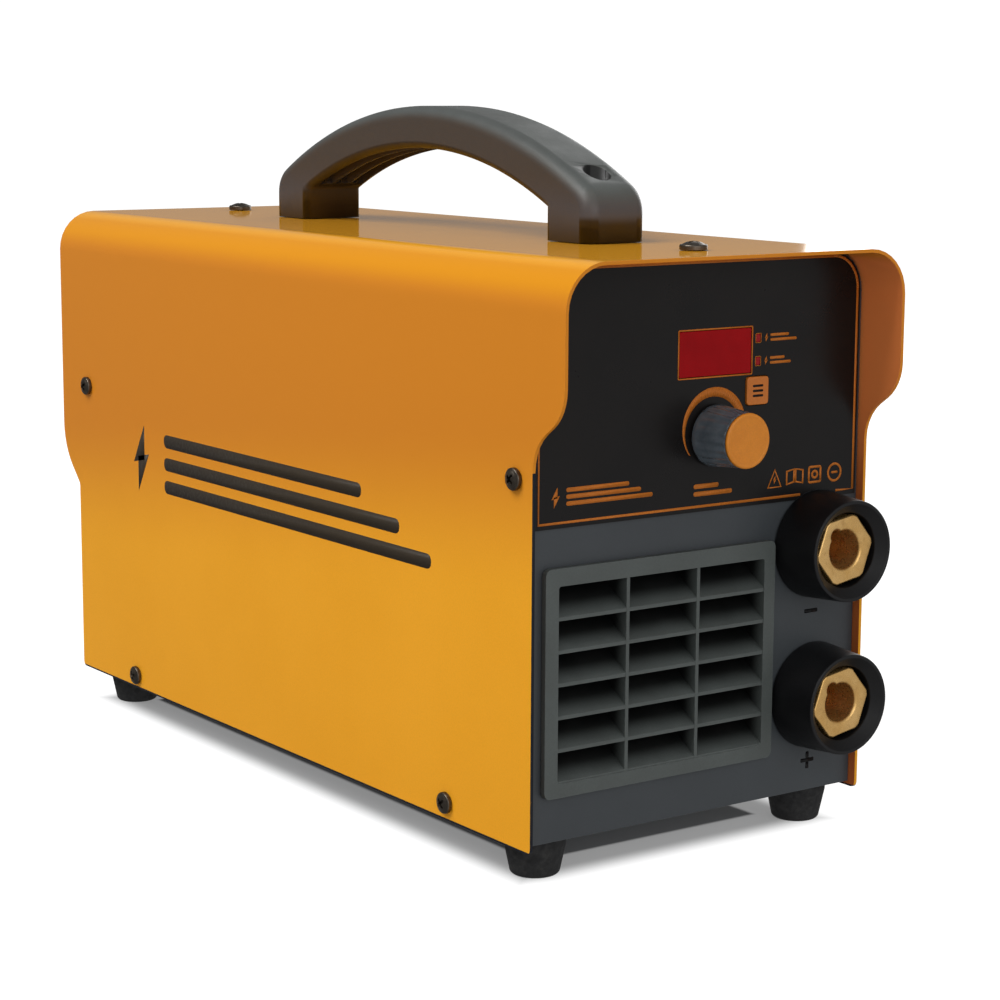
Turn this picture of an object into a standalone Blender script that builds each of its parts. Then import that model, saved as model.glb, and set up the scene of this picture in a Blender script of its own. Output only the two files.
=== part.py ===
"""Stick welding inverter: case, controls, lead sockets, carrying handle, fan and power stage.

Frame: metres, +Z up, front towards -Y, origin on the floor under the middle of the case.
"""

import math

import bmesh
import bpy
from mathutils import Matrix

MM = 0.001

# Case
CASE_WIDTH = 146.2 * MM
CASE_HEIGHT = 196 * MM
LOWER_LENGTH = 332 * MM
FRONT_VISOR = 17 * MM
REAR_VISOR = 14.5 * MM
SHEET = 1.2 * MM
BEND_RADIUS = 16 * MM
FLOOR_CLEARANCE = 12.5 * MM
GAP = 0.3 * MM

VISOR_FRONT_Y = -(LOWER_LENGTH + FRONT_VISOR + REAR_VISOR) / 2
FRONT_Y = VISOR_FRONT_Y + FRONT_VISOR
REAR_Y = FRONT_Y + LOWER_LENGTH
VISOR_REAR_Y = REAR_Y + REAR_VISOR
HOOD_LOW_Z = FLOOR_CLEARANCE
HOOD_TOP_Z = HOOD_LOW_Z + CASE_HEIGHT
INNER_HALF_WIDTH = CASE_WIDTH / 2 - SHEET - GAP
INNER_TOP_Z = HOOD_TOP_Z - SHEET - GAP

# Edges of the hood that step out into the visors
FRONT_STEP_Z = HOOD_LOW_Z + 127.7 * MM
FRONT_STEP_ANGLE = 55
FRONT_STEP_RADII = (16 * MM, 16 * MM)
REAR_STEP_Z = HOOD_LOW_Z + 79 * MM
REAR_STEP_ANGLE = 45
REAR_STEP_RADII = (3 * MM, 26 * MM)

# Panels and base
PANEL_RECESS = 3.2 * MM
FRONT_FACE_Y = FRONT_Y + PANEL_RECESS
REAR_FACE_Y = REAR_Y - PANEL_RECESS
PANEL_LOW_Z = HOOD_LOW_Z + 1.9 * MM
PANEL_FLANGE = 20 * MM
PANEL_FLANGE_LOW_Z = 34 * MM
BASE_LIP_Z = 30 * MM
BASE_TOP_Z = PANEL_LOW_Z + SHEET
STANDOFF_RADIUS = 3 * MM
STANDOFF_X = 55 * MM
STANDOFF_Y = (-112 * MM, 116 * MM)
BOARD_Z = 32 * MM

# Screws
SIDE_SCREW_RADIUS = 3.8 * MM
SIDE_SCREW_HEIGHT = 2.6 * MM
TOP_SCREW_RADIUS = 4.8 * MM
TOP_SCREW_HEIGHT = 3 * MM
SHANK_RADIUS = 1.9 * MM
SCREW_HOLE_RADIUS = 2.3 * MM
HOLE_OVERRUN = 4 * MM
SIDE_SCREWS = {
    "front_mid": (FRONT_Y + 9.3 * MM, HOOD_LOW_Z + 124.6 * MM),
    "front_low": (FRONT_Y + 49.2 * MM, HOOD_LOW_Z + 6.4 * MM),
    "rear_low": (REAR_Y - 50.9 * MM, HOOD_LOW_Z + 5.5 * MM),
    "rear_mid": (REAR_Y - 10 * MM, HOOD_LOW_Z + 123.5 * MM),
}
TOP_SCREWS = {"front": FRONT_Y + 9.5 * MM, "rear": REAR_Y - 13 * MM}

# Feet
FOOT_X = 58.7 * MM
FOOT_Y = {"front": -147.8 * MM, "rear": 145.5 * MM}
FOOT_TOP_RADIUS = 10.7 * MM
FOOT_LOW_RADIUS = 8.7 * MM
FOOT_ROUNDING = 1.8 * MM
FOOT_BAND = 3 * MM
FOOT_WELL_RADIUS = 4.2 * MM
FOOT_WELL_TOP = 7.7 * MM

# Controls
LABEL_HALF_WIDTH = 70.2 * MM
LABEL_LOW_Z = HOOD_LOW_Z + 108 * MM
LABEL_TOP_Z = HOOD_LOW_Z + 193.9 * MM
LABEL_THICK = 0.5 * MM
LABEL_CORNER = 13 * MM
LABEL_BACK_Y = FRONT_FACE_Y - GAP
LABEL_FACE_Y = LABEL_BACK_Y - LABEL_THICK
DISPLAY_X = 4.65 * MM
DISPLAY_Z = HOOD_LOW_Z + 161.8 * MM
DISPLAY_SIZE = (31.4 * MM, 15.4 * MM)
LED_X = 23.5 * MM
LED_Z = {"upper": HOOD_LOW_Z + 165.8 * MM, "lower": HOOD_LOW_Z + 157.9 * MM}
LED_SIZE = (2.0 * MM, 2.8 * MM)
KEY_X = 23.2 * MM
KEY_Z = HOOD_LOW_Z + 147.8 * MM
KEY_SIZE = (9.7 * MM, 9.7 * MM)
KEY_PROUD = 0.7 * MM
KNOB_X = 4.6 * MM
KNOB_Z = HOOD_LOW_Z + 133.8 * MM
KNOB_BASE_RADIUS = 10.7 * MM
KNOB_FRONT_RADIUS = 9.7 * MM
KNOB_FRONT_Y = FRONT_Y - 15.6 * MM
KNOB_FLUTES = 24
KNOB_SHAFT_RADIUS = 3 * MM
BUSH_HOLE_RADIUS = 4.2 * MM
CONTROL_BOARD_Y = FRONT_FACE_Y + SHEET + 10.6 * MM
CONTROL_BOARD_X = (-44 * MM, 50 * MM)
CONTROL_BOARD_Z = (128 * MM, 198 * MM)
BOARD_THICK = 1.6 * MM

# Front grille
GRILLE_X = (-66.8 * MM, 32 * MM)
GRILLE_Z = (HOOD_LOW_Z + 17.5 * MM, HOOD_LOW_Z + 95 * MM)
WINDOW_X = (-61.5 * MM, 27.2 * MM)
WINDOW_Z = (HOOD_LOW_Z + 22.3 * MM, HOOD_LOW_Z + 89 * MM)
GRILLE_PROUD = 2.2 * MM
GRILLE_DEPTH = 13 * MM
GRILLE_CORNER = 2.2 * MM
GRILLE_WALL = 1.4 * MM
GRILLE_RIB_X = (-32.6 * MM, -2.3 * MM)
GRILLE_ROWS = 6
GRILLE_RIB = 1.3 * MM
BLADE_THICK = 1.0 * MM
BLADE_ANGLE = 34

# Lead sockets
SOCKET_X = 52.6 * MM
SOCKET_Z = {"negative": HOOD_LOW_Z + 91.5 * MM, "positive": HOOD_LOW_Z + 36.9 * MM}
SOCKET_FRONT_Y = FRONT_Y - 16.4 * MM
COLLAR_BASE_RADIUS = 19.2 * MM
COLLAR_FRONT_RADIUS = 17.9 * MM
COLLAR_RECESS_RADIUS = 13.2 * MM
COLLAR_SPIGOT_RADIUS = 12 * MM
BRASS_FACE_Y = SOCKET_FRONT_Y + 3.8 * MM
BRASS_ACROSS_FLATS = 23 * MM
BRASS_TURN = 10
BRASS_TURNED_RADIUS = 12.75 * MM
STUD_RADIUS = 9 * MM
SOCKET_BORE_RADIUS = 6.7 * MM
SOCKET_BORE_DEPTH = 26 * MM
KEYWAY_ANGLE = 128
KEYWAY_REACH = 8.5 * MM
KEYWAY_HALF_WIDTH = 2.5 * MM
KEYWAY_DEPTH = 12 * MM

# Handle
HANDLE_Y = -6.2 * MM
HANDLE_WIDTH = 26.6 * MM
HANDLE_HALF_LENGTH = 108 * MM
HANDLE_RISE = 46.3 * MM
HANDLE_TOP_RADIUS = 213 * MM
HANDLE_SHOULDER_RADIUS = 12 * MM
HANDLE_EDGE_RADIUS = 5.5 * MM
GRIP_HALF_SPAN = 82.2 * MM
GRIP_RISE = 30.4 * MM
GRIP_RADIUS = 188 * MM
CHANNEL_DEPTH = 6.5 * MM
CHANNEL_HALF_SPAN = 76 * MM
HANDLE_WALL = 3 * MM
HANDLE_RIB = 1.8 * MM
HANDLE_SCREW_OFFSET = 94.8 * MM
HANDLE_BASE_Z = HOOD_TOP_Z + GAP

# Rear panel
FAN_SIZE = 92 * MM
FAN_DEPTH = 25 * MM
FAN_Z = 80 * MM
FAN_BORE_RADIUS = 43.5 * MM
FAN_HUB_RADIUS = 18 * MM
FAN_BLADES = 7
VENT_RINGS = (13 * MM, 21 * MM, 29 * MM, 37 * MM)
VENT_SLOT = 4.6 * MM
SWITCH_X = -38 * MM
SWITCH_Z = 162 * MM
ROCKER_TILT = 10
ROCKER_PIVOT_Y = REAR_FACE_Y + 0.9 * MM
GLAND_X = 38 * MM
GLAND_Z = 160 * MM
GLAND_BORE_RADIUS = 5.5 * MM

# Colours as sRGB, with roughness and metallic value
LOOKS = {
    "hood_paint": ((222, 145, 33), 0.35, 0.0),
    "panel_paint": ((62, 66, 70), 0.5, 0.0),
    "label_print": ((30, 28, 28), 0.4, 0.0),
    "grille_plastic": ((72, 77, 76), 0.6, 0.0),
    "handle_plastic": ((92, 98, 96), 0.6, 0.0),
    "black_plastic": ((24, 24, 26), 0.5, 0.0),
    "rubber": ((22, 22, 23), 0.8, 0.0),
    "display_red": ((125, 18, 22), 0.15, 0.0),
    "key_orange": ((190, 110, 45), 0.5, 0.0),
    "knob_smoke": ((58, 68, 77), 0.25, 0.0),
    "brass": ((190, 150, 88), 0.3, 1.0),
    "black_steel": ((28, 28, 30), 0.4, 1.0),
    "zinc_steel": ((150, 152, 155), 0.35, 1.0),
    "galvanised": ((140, 142, 145), 0.45, 1.0),
    "copper": ((184, 115, 70), 0.3, 1.0),
    "aluminium": ((170, 172, 175), 0.35, 1.0),
    "board_green": ((30, 84, 52), 0.5, 0.0),
    "component": ((40, 42, 48), 0.5, 0.0),
    "sleeve_blue": ((36, 60, 110), 0.4, 0.0),
}


# Mesh helpers

def clear_scene():
    for obj in list(bpy.data.objects):
        bpy.data.objects.remove(obj)


def linear(channel):
    """One sRGB channel, 0 to 255, as a linear value."""
    return (channel / 255) ** 2.2


def look(name):
    """A Principled material of its own for one sub-part."""
    colour, roughness, metallic = LOOKS[name]
    material = bpy.data.materials.new(name)
    material.use_nodes = True
    shader = material.node_tree.nodes["Principled BSDF"]
    shader.inputs["Base Color"].default_value = (*[linear(c) for c in colour], 1)
    shader.inputs["Roughness"].default_value = roughness
    shader.inputs["Metallic"].default_value = metallic
    return material


def point(axis, u, v, w):
    """Place (u, v) in the plane across an axis, at w along it."""
    return {"X": (w, u, v), "Y": (u, w, v), "Z": (u, v, w)}[axis]


def solid(bm):
    """Turn a closed bmesh into an object with its faces pointing out."""
    bmesh.ops.recalc_face_normals(bm, faces=bm.faces)
    mesh = bpy.data.meshes.new("solid")
    bm.to_mesh(mesh)
    bm.free()
    obj = bpy.data.objects.new("solid", mesh)
    bpy.context.collection.objects.link(obj)
    return obj


def prism(outline, axis, low, high):
    """Extrude a closed outline along an axis."""
    bm = bmesh.new()
    ends = [[bm.verts.new(point(axis, u, v, w)) for u, v in outline] for w in (low, high)]
    for end in ends:
        bm.faces.new(end)
    bridge(bm, *ends)
    return solid(bm)


def bridge(bm, first, second):
    """Join two rings of vertices, either of which may be a single tip."""
    count = max(len(first), len(second))
    for i in range(count):
        j = (i + 1) % count
        corners = [first[i % len(first)], first[j % len(first)]]
        corners += [second[j % len(second)], second[i % len(second)]]
        bm.faces.new(dict.fromkeys(corners))


def turned(profile, axis, centre, segments=32, closed=False):
    """Revolve (radius, along) points about an axis through centre; closed joins last to first."""
    bm = bmesh.new()
    rings = []
    for radius, along in profile:
        count = segments if radius else 1
        ring = circle(*centre, radius, count)
        rings.append([bm.verts.new(point(axis, u, v, along)) for u, v in ring])
    following = rings[1:] + rings[:1] if closed else rings[1:]
    for first, second in zip(rings, following):
        bridge(bm, first, second)
    return solid(bm)


def box(x, y, z):
    """A box from its three (low, high) spans."""
    corners = [(x[0], y[0]), (x[1], y[0]), (x[1], y[1]), (x[0], y[1])]
    return prism(corners, "Z", *z)


def joined(*objects):
    """Put several solids into one mesh, as one cutter or one addition."""
    bm = bmesh.new()
    for obj in objects:
        bm.from_mesh(obj.data)
        bpy.data.objects.remove(obj)
    return solid(bm)


def combine(obj, other, operation):
    """Boolean an object with another, which is used up."""
    modifier = obj.modifiers.new(operation, "BOOLEAN")
    modifier.operation = operation
    modifier.object = other
    graph = bpy.context.evaluated_depsgraph_get()
    mesh = bpy.data.meshes.new_from_object(obj.evaluated_get(graph))
    obj.modifiers.clear()
    obj.data = mesh
    bpy.data.objects.remove(other)
    return obj


def cut(obj, *cutters):
    return combine(obj, joined(*cutters), "DIFFERENCE")


def add(obj, *extras):
    return combine(obj, joined(*extras), "UNION")


def common(obj, other):
    return combine(obj, other, "INTERSECT")


def bevelled(obj, width, segments, chosen):
    """Round the edges for which chosen(edge) is true."""
    bm = bmesh.new()
    bm.from_mesh(obj.data)
    edges = [edge for edge in bm.edges if chosen(edge)]
    bmesh.ops.bevel(bm, geom=edges, offset=width, segments=segments, profile=0.5, affect="EDGES")
    bm.to_mesh(obj.data)
    bm.free()
    return obj


def turn_mesh(obj, degrees, axis, centre):
    """Rotate a mesh about an axis through centre."""
    there = Matrix.Translation(centre)
    obj.data.transform(there @ Matrix.Rotation(math.radians(degrees), 4, axis) @ there.inverted())
    return obj


def finish(obj, name, looks, origin=None):
    """Name a sub-part, give it its material and smooth shading, and move its origin onto its joint."""
    obj.name = name
    obj.data.name = name
    if origin:
        obj.data.transform(Matrix.Translation([-value for value in origin]))
        obj.location = origin
    obj.data.materials.clear()
    obj.data.materials.append(look(looks))
    obj.data.shade_smooth()
    obj.data.set_sharp_from_angle(angle=math.radians(32))
    return obj


# Outline helpers

def arc(u, v, radius, start, end, steps):
    """Points of an arc from start to end degrees, both included."""
    angles = [math.radians(start + (end - start) * i / steps) for i in range(steps + 1)]
    return [(u + radius * math.cos(a), v + radius * math.sin(a)) for a in angles]


def circle(u, v, radius, count):
    return arc(u, v, radius, 0, 360, count)[:-1]


def rounded_box(u, v, radius, steps=3):
    """A rectangle from its two (low, high) spans, with one corner radius."""
    corners = [(u[1], v[1], 1, 1, 0), (u[0], v[1], -1, 1, 90)]
    corners += [(u[0], v[0], -1, -1, 180), (u[1], v[0], 1, -1, 270)]
    points = []
    for corner_u, corner_v, side_u, side_v, start in corners:
        centre = (corner_u - side_u * radius, corner_v - side_v * radius)
        points += arc(*centre, radius, start, start + 90, steps)
    return points


def span(middle, width):
    return (middle - width / 2, middle + width / 2)


def grown(limits, margin):
    return (limits[0] - margin, limits[1] + margin)


def hexagon(u, v, across_flats, turn=0):
    return arc(u, v, across_flats / math.sqrt(3), turn, turn + 300, 5)


# Case

def case_section(half_width, top_z, radius, low_z):
    """Cross-section of the case: straight sides, a flat top and two round bends."""
    points = [(half_width, low_z)]
    points += arc(half_width - radius, top_z - radius, radius, 0, 90, 8)
    points += arc(radius - half_width, top_z - radius, radius, 90, 180, 8)
    points.append((-half_width, low_z))
    return points


def step_edge(start_y, start_z, outward, reach, radii, angle):
    """An edge that rises, leans outward by reach and rises again: two arcs and the line between."""
    lean = math.radians(angle)
    low_radius, high_radius = radii
    line_reach = reach - sum(radii) * (1 - math.cos(lean))
    rise = sum(radii) * math.sin(lean) + line_reach / math.tan(lean)
    low = arc(low_radius, 0, low_radius, 180, 180 - angle, 5)
    high = arc(reach - high_radius, rise, high_radius, -angle, 0, 6)
    return [(start_y + outward * y, start_z + z) for y, z in low + high]


def hood_side_outline():
    """Side view of the hood."""
    corner = 2 * MM
    above = HOOD_TOP_Z + BEND_RADIUS
    front = step_edge(FRONT_Y, FRONT_STEP_Z, -1, FRONT_VISOR, FRONT_STEP_RADII, FRONT_STEP_ANGLE)
    rear = step_edge(REAR_Y, REAR_STEP_Z, 1, REAR_VISOR, REAR_STEP_RADII, REAR_STEP_ANGLE)
    points = arc(FRONT_Y + corner, HOOD_LOW_Z + corner, corner, 270, 180, 3)
    points += front
    points += [(VISOR_FRONT_Y, above), (VISOR_REAR_Y, above)]
    points += rear[::-1]
    points += arc(REAR_Y - corner, HOOD_LOW_Z + corner, corner, 0, -90, 3)
    return points


def screw_holes():
    """Cutters for every screw that passes through the hood's sides and top."""
    holes = []
    for y, z in SIDE_SCREWS.values():
        outline = circle(y, z, SCREW_HOLE_RADIUS, 12)
        for side in (-1, 1):
            limits = (side * (INNER_HALF_WIDTH - HOLE_OVERRUN), side * (CASE_WIDTH / 2 + HOLE_OVERRUN))
            holes.append(prism(outline, "X", *sorted(limits)))
    for y in TOP_SCREWS.values():
        outline = circle(0, y, SCREW_HOLE_RADIUS, 12)
        holes.append(prism(outline, "Z", INNER_TOP_Z - HOLE_OVERRUN, HOOD_TOP_Z + HOLE_OVERRUN))
    return holes


def make_hood():
    overrun = 20 * MM
    length = (VISOR_FRONT_Y - overrun, VISOR_REAR_Y + overrun)
    outer = case_section(CASE_WIDTH / 2, HOOD_TOP_Z, BEND_RADIUS, 0)
    inner = case_section(CASE_WIDTH / 2 - SHEET, HOOD_TOP_Z - SHEET, BEND_RADIUS - SHEET, 0)
    hood = prism(outer + inner[::-1], "Y", *length)
    common(hood, prism(hood_side_outline(), "X", -CASE_WIDTH, CASE_WIDTH))
    cut(hood, *screw_holes(), *handle_screw_holes())
    finish(hood, "hood_cover", "hood_paint")


def handle_screw_holes():
    holes = []
    for side in (-1, 1):
        outline = circle(0, HANDLE_Y + side * HANDLE_SCREW_OFFSET, 2.8 * MM, 12)
        holes.append(prism(outline, "Z", HOOD_TOP_Z - 5 * MM, HOOD_TOP_Z + 5 * MM))
    return holes


def make_base():
    """Tray with upturned edges, board standoffs and foot screw holes."""
    x = (-INNER_HALF_WIDTH, INNER_HALF_WIDTH)
    y = (FRONT_FACE_Y + SHEET + GAP, REAR_FACE_Y - SHEET - GAP)
    base = box(x, y, (PANEL_LOW_Z, BASE_LIP_Z))
    cut(base, box(grown(x, -SHEET), grown(y, -SHEET), (BASE_TOP_Z, BASE_LIP_Z + SHEET)))
    posts = []
    for post_y in STANDOFF_Y:
        for side in (-1, 1):
            outline = circle(side * STANDOFF_X, post_y, STANDOFF_RADIUS, 12)
            posts.append(prism(outline, "Z", PANEL_LOW_Z + SHEET / 2, BOARD_Z - GAP))
    add(base, *posts)
    holes = screw_holes()
    for foot_x, foot_y in foot_places().values():
        holes.append(prism(circle(foot_x, foot_y, SCREW_HOLE_RADIUS, 12), "Z", 0, BASE_LIP_Z))
    cut(base, *holes)
    finish(base, "base_plate", "galvanised")


def panel_pan(face_y, inward):
    """A panel with flanges turned back along its sides and top."""
    section = case_section(INNER_HALF_WIDTH, INNER_TOP_Z, BEND_RADIUS - SHEET - GAP, PANEL_LOW_Z)
    hollow = case_section(INNER_HALF_WIDTH - SHEET, INNER_TOP_Z - SHEET, BEND_RADIUS - 2 * SHEET - GAP, 0)
    back_y = face_y + inward * SHEET
    end_y = face_y + inward * PANEL_FLANGE
    pan = prism(section, "Y", *sorted((face_y, end_y)))
    cut(pan, prism(hollow, "Y", *sorted((back_y, end_y + inward * SHEET))))
    behind = sorted((back_y, end_y + inward * SHEET))
    return cut(pan, box((-CASE_WIDTH, CASE_WIDTH), behind, (0, PANEL_FLANGE_LOW_Z)))


def through(outline, face_y):
    """A cutter through a panel whose outer face is at face_y."""
    return prism(outline, "Y", face_y - 6 * MM, face_y + 6 * MM)


def make_front_panel():
    panel = panel_pan(FRONT_FACE_Y, 1)
    margin = GRILLE_WALL + GAP
    holes = [rounded_box(grown(WINDOW_X, margin), grown(WINDOW_Z, margin), 2 * MM)]
    holes += [circle(SOCKET_X, z, COLLAR_SPIGOT_RADIUS + GAP, 24) for z in SOCKET_Z.values()]
    holes += control_holes(0.7 * MM, 0.9 * MM)
    cut(panel, *[through(outline, FRONT_FACE_Y) for outline in holes])
    cut(panel, *screw_holes())
    finish(panel, "front_panel", "panel_paint")


def vent_slots():
    """Rings of arc slots in front of the fan."""
    slots = []
    for ring, radius in enumerate(VENT_RINGS):
        count = 4 + 2 * ring
        pitch = 360 / count
        bridge_angle = math.degrees(4.2 * MM / radius)
        for i in range(count):
            start = i * pitch + bridge_angle / 2
            end = (i + 1) * pitch - bridge_angle / 2
            outer = arc(0, FAN_Z, radius + VENT_SLOT / 2, start, end, 3)
            inner = arc(0, FAN_Z, radius - VENT_SLOT / 2, end, start, 3)
            slots.append(outer + inner)
    return slots


def make_rear_panel():
    panel = panel_pan(REAR_FACE_Y, -1)
    switch_hole = rounded_box(span(SWITCH_X, 21.6 * MM), span(SWITCH_Z, 28.6 * MM), 1 * MM)
    gland_hole = circle(GLAND_X, GLAND_Z, 10 * MM, 24)
    cut(panel, *[through(outline, REAR_FACE_Y) for outline in vent_slots() + [switch_hole, gland_hole]])
    cut(panel, *screw_holes())
    finish(panel, "rear_panel", "panel_paint")


def foot_places():
    places = {}
    for row, y in FOOT_Y.items():
        for side, x in (("left", -FOOT_X), ("right", FOOT_X)):
            places[f"{row}_{side}"] = (x, y)
    return places


def make_feet():
    """Rubber feet with a counterbore underneath, and the screw in each."""
    top = PANEL_LOW_Z - GAP
    profile = [(FOOT_WELL_RADIUS, FOOT_WELL_TOP), (FOOT_WELL_RADIUS, 0)]
    profile += arc(FOOT_LOW_RADIUS - FOOT_ROUNDING, FOOT_ROUNDING, FOOT_ROUNDING, -90, -6, 3)
    profile += [(FOOT_TOP_RADIUS, top - FOOT_BAND), (FOOT_TOP_RADIUS, top)]
    profile += [(SCREW_HOLE_RADIUS, top), (SCREW_HOLE_RADIUS, FOOT_WELL_TOP)]
    for name, (x, y) in foot_places().items():
        foot = turned(profile, "Z", (x, y), 20, closed=True)
        finish(foot, f"foot_{name}", "rubber")
        screw = turned(screw_profile(3.6 * MM, 2 * MM, 0, -14 * MM), "Z", (x, y), 12)
        screw.data.transform(Matrix.Translation((0, 0, GAP - FOOT_WELL_TOP)))
        screw.data.transform(Matrix.Scale(-1, 4, (0, 0, 1)))
        screw.data.flip_normals()
        finish(screw, f"foot_screw_{name}", "zinc_steel")


# Screws

def screw_profile(head_radius, head_height, face, tip):
    """Domed head that rests on face with its shank running to tip, along the same axis."""
    dome = [
        (0, face + head_height),
        (head_radius * 0.62, face + head_height * 0.88),
        (head_radius, face + head_height * 0.4),
        (head_radius, face),
    ]
    return dome + [(SHANK_RADIUS, face), (SHANK_RADIUS, tip), (0, tip)]


def cross_recess(along, depth, reach):
    """Cutter for a cross-slotted drive, centred on the Z axis."""
    arms = []
    for turn in (0, 90):
        arm = box((-reach, reach), (-0.55 * MM, 0.55 * MM), (along - depth, along + depth))
        arms.append(turn_mesh(arm, turn, "Z", (0, 0, 0)))
    return combine(arms[0], arms[1], "UNION")


def crossed_screw(head_radius, head_height, shank):
    """A cross-slotted pan head screw standing on Z = 0, head up."""
    screw = turned(screw_profile(head_radius, head_height, 0, -shank), "Z", (0, 0), 12)
    return cut(screw, cross_recess(head_height, 1.3 * MM, head_radius * 0.55))


def make_side_screws():
    for side_name, side in (("left", -1), ("right", 1)):
        for name, (y, z) in SIDE_SCREWS.items():
            screw = crossed_screw(SIDE_SCREW_RADIUS, SIDE_SCREW_HEIGHT, 7 * MM)
            screw.data.transform(Matrix.Rotation(math.radians(side * 90), 4, "Y"))
            screw.data.transform(Matrix.Translation((side * (CASE_WIDTH / 2 + GAP), y, z)))
            finish(screw, f"side_screw_{side_name}_{name}", "black_steel")


def make_top_screws():
    for name, y in TOP_SCREWS.items():
        screw = crossed_screw(TOP_SCREW_RADIUS, TOP_SCREW_HEIGHT, 7 * MM)
        screw.data.transform(Matrix.Translation((0, y, HOOD_TOP_Z + GAP)))
        finish(screw, f"top_screw_{name}", "black_steel")


# Controls

def control_spans(x, z, size, margin):
    return span(x, size[0] + 2 * margin), span(z, size[1] + 2 * margin)


def control_holes(margin, corner):
    """Outlines round the display, the two lights, the key and the knob's bush."""
    holes = [rounded_box(*control_spans(DISPLAY_X, DISPLAY_Z, DISPLAY_SIZE, margin), corner, 1)]
    for z in LED_Z.values():
        holes.append(rounded_box(*control_spans(LED_X, z, LED_SIZE, margin), corner, 1))
    holes.append(rounded_box(*control_spans(KEY_X, KEY_Z, KEY_SIZE, margin), corner + 1 * MM))
    holes.append(circle(KNOB_X, KNOB_Z, BUSH_HOLE_RADIUS, 20))
    return holes


def make_label():
    """Printed overlay with cut-outs for the display, lights, key and knob bush."""
    radius = LABEL_CORNER
    points = [(LABEL_HALF_WIDTH, LABEL_LOW_Z)]
    points += arc(LABEL_HALF_WIDTH - radius, LABEL_TOP_Z - radius, radius, 0, 90, 8)
    points += arc(radius - LABEL_HALF_WIDTH, LABEL_TOP_Z - radius, radius, 90, 180, 8)
    points.append((-LABEL_HALF_WIDTH, LABEL_LOW_Z))
    label = prism(points, "Y", LABEL_FACE_Y, LABEL_BACK_Y)
    holes = control_holes(GAP, 0.4 * MM)
    holes.append(circle(SOCKET_X, SOCKET_Z["negative"], COLLAR_BASE_RADIUS + GAP, 48))
    cut(label, *[through(outline, LABEL_FACE_Y) for outline in holes])
    finish(label, "control_label", "label_print")


def make_display():
    spans = control_spans(DISPLAY_X, DISPLAY_Z, DISPLAY_SIZE, 0)
    window = prism(rounded_box(*spans, 0.3 * MM, 1), "Y", LABEL_FACE_Y, LABEL_FACE_Y + 2 * MM)
    finish(window, "display_window", "display_red")
    board_face = CONTROL_BOARD_Y - GAP
    wide, high = [grown(limits, -1 * MM) for limits in spans]
    module = box(wide, (LABEL_FACE_Y + 2.6 * MM, board_face), high)
    finish(module, "display_module", "component")
    for name, z in LED_Z.items():
        outline = rounded_box(*control_spans(LED_X, z, LED_SIZE, 0), 0.3 * MM, 1)
        finish(prism(outline, "Y", LABEL_FACE_Y, board_face), f"mode_light_{name}", "display_red")
    board = box(CONTROL_BOARD_X, (CONTROL_BOARD_Y, CONTROL_BOARD_Y + BOARD_THICK), CONTROL_BOARD_Z)
    finish(board, "control_board", "board_green")


def make_function_key():
    """Square key cap with its stem, and the switch that the stem presses."""
    front = LABEL_FACE_Y - KEY_PROUD
    switch_top = CONTROL_BOARD_Y - 3.8 * MM
    spans = control_spans(KEY_X, KEY_Z, KEY_SIZE, 0)
    key = prism(rounded_box(*spans, 1.2 * MM), "Y", front, front + 2.4 * MM)
    add(key, prism(circle(KEY_X, KEY_Z, 1.8 * MM, 16), "Y", front + 1.5 * MM, switch_top - 0.8 * MM))
    finish(key, "function_key", "key_orange", (KEY_X, front, KEY_Z))
    switch = box(span(KEY_X, 6 * MM), (switch_top, CONTROL_BOARD_Y - GAP), span(KEY_Z, 6 * MM))
    finish(switch, "key_switch", "component")


def fluted(profile, flutes, centre, depth):
    """A turned body whose outer rings carry rounded flutes; profile rows are (radius, along, fluted)."""
    steps = 2
    count = flutes * steps
    bm = bmesh.new()
    rings = []
    for radius, along, wavy in profile:
        ring = []
        for i in range(count if radius else 1):
            wave = depth if wavy and i % steps == 0 else 0
            angle = 2 * math.pi * i / count
            u = centre[0] + (radius - wave) * math.cos(angle)
            v = centre[1] + (radius - wave) * math.sin(angle)
            ring.append(bm.verts.new(point("Y", u, v, along)))
        rings.append(ring)
    for first, second in zip(rings, rings[1:]):
        bridge(bm, first, second)
    return solid(bm)


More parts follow.
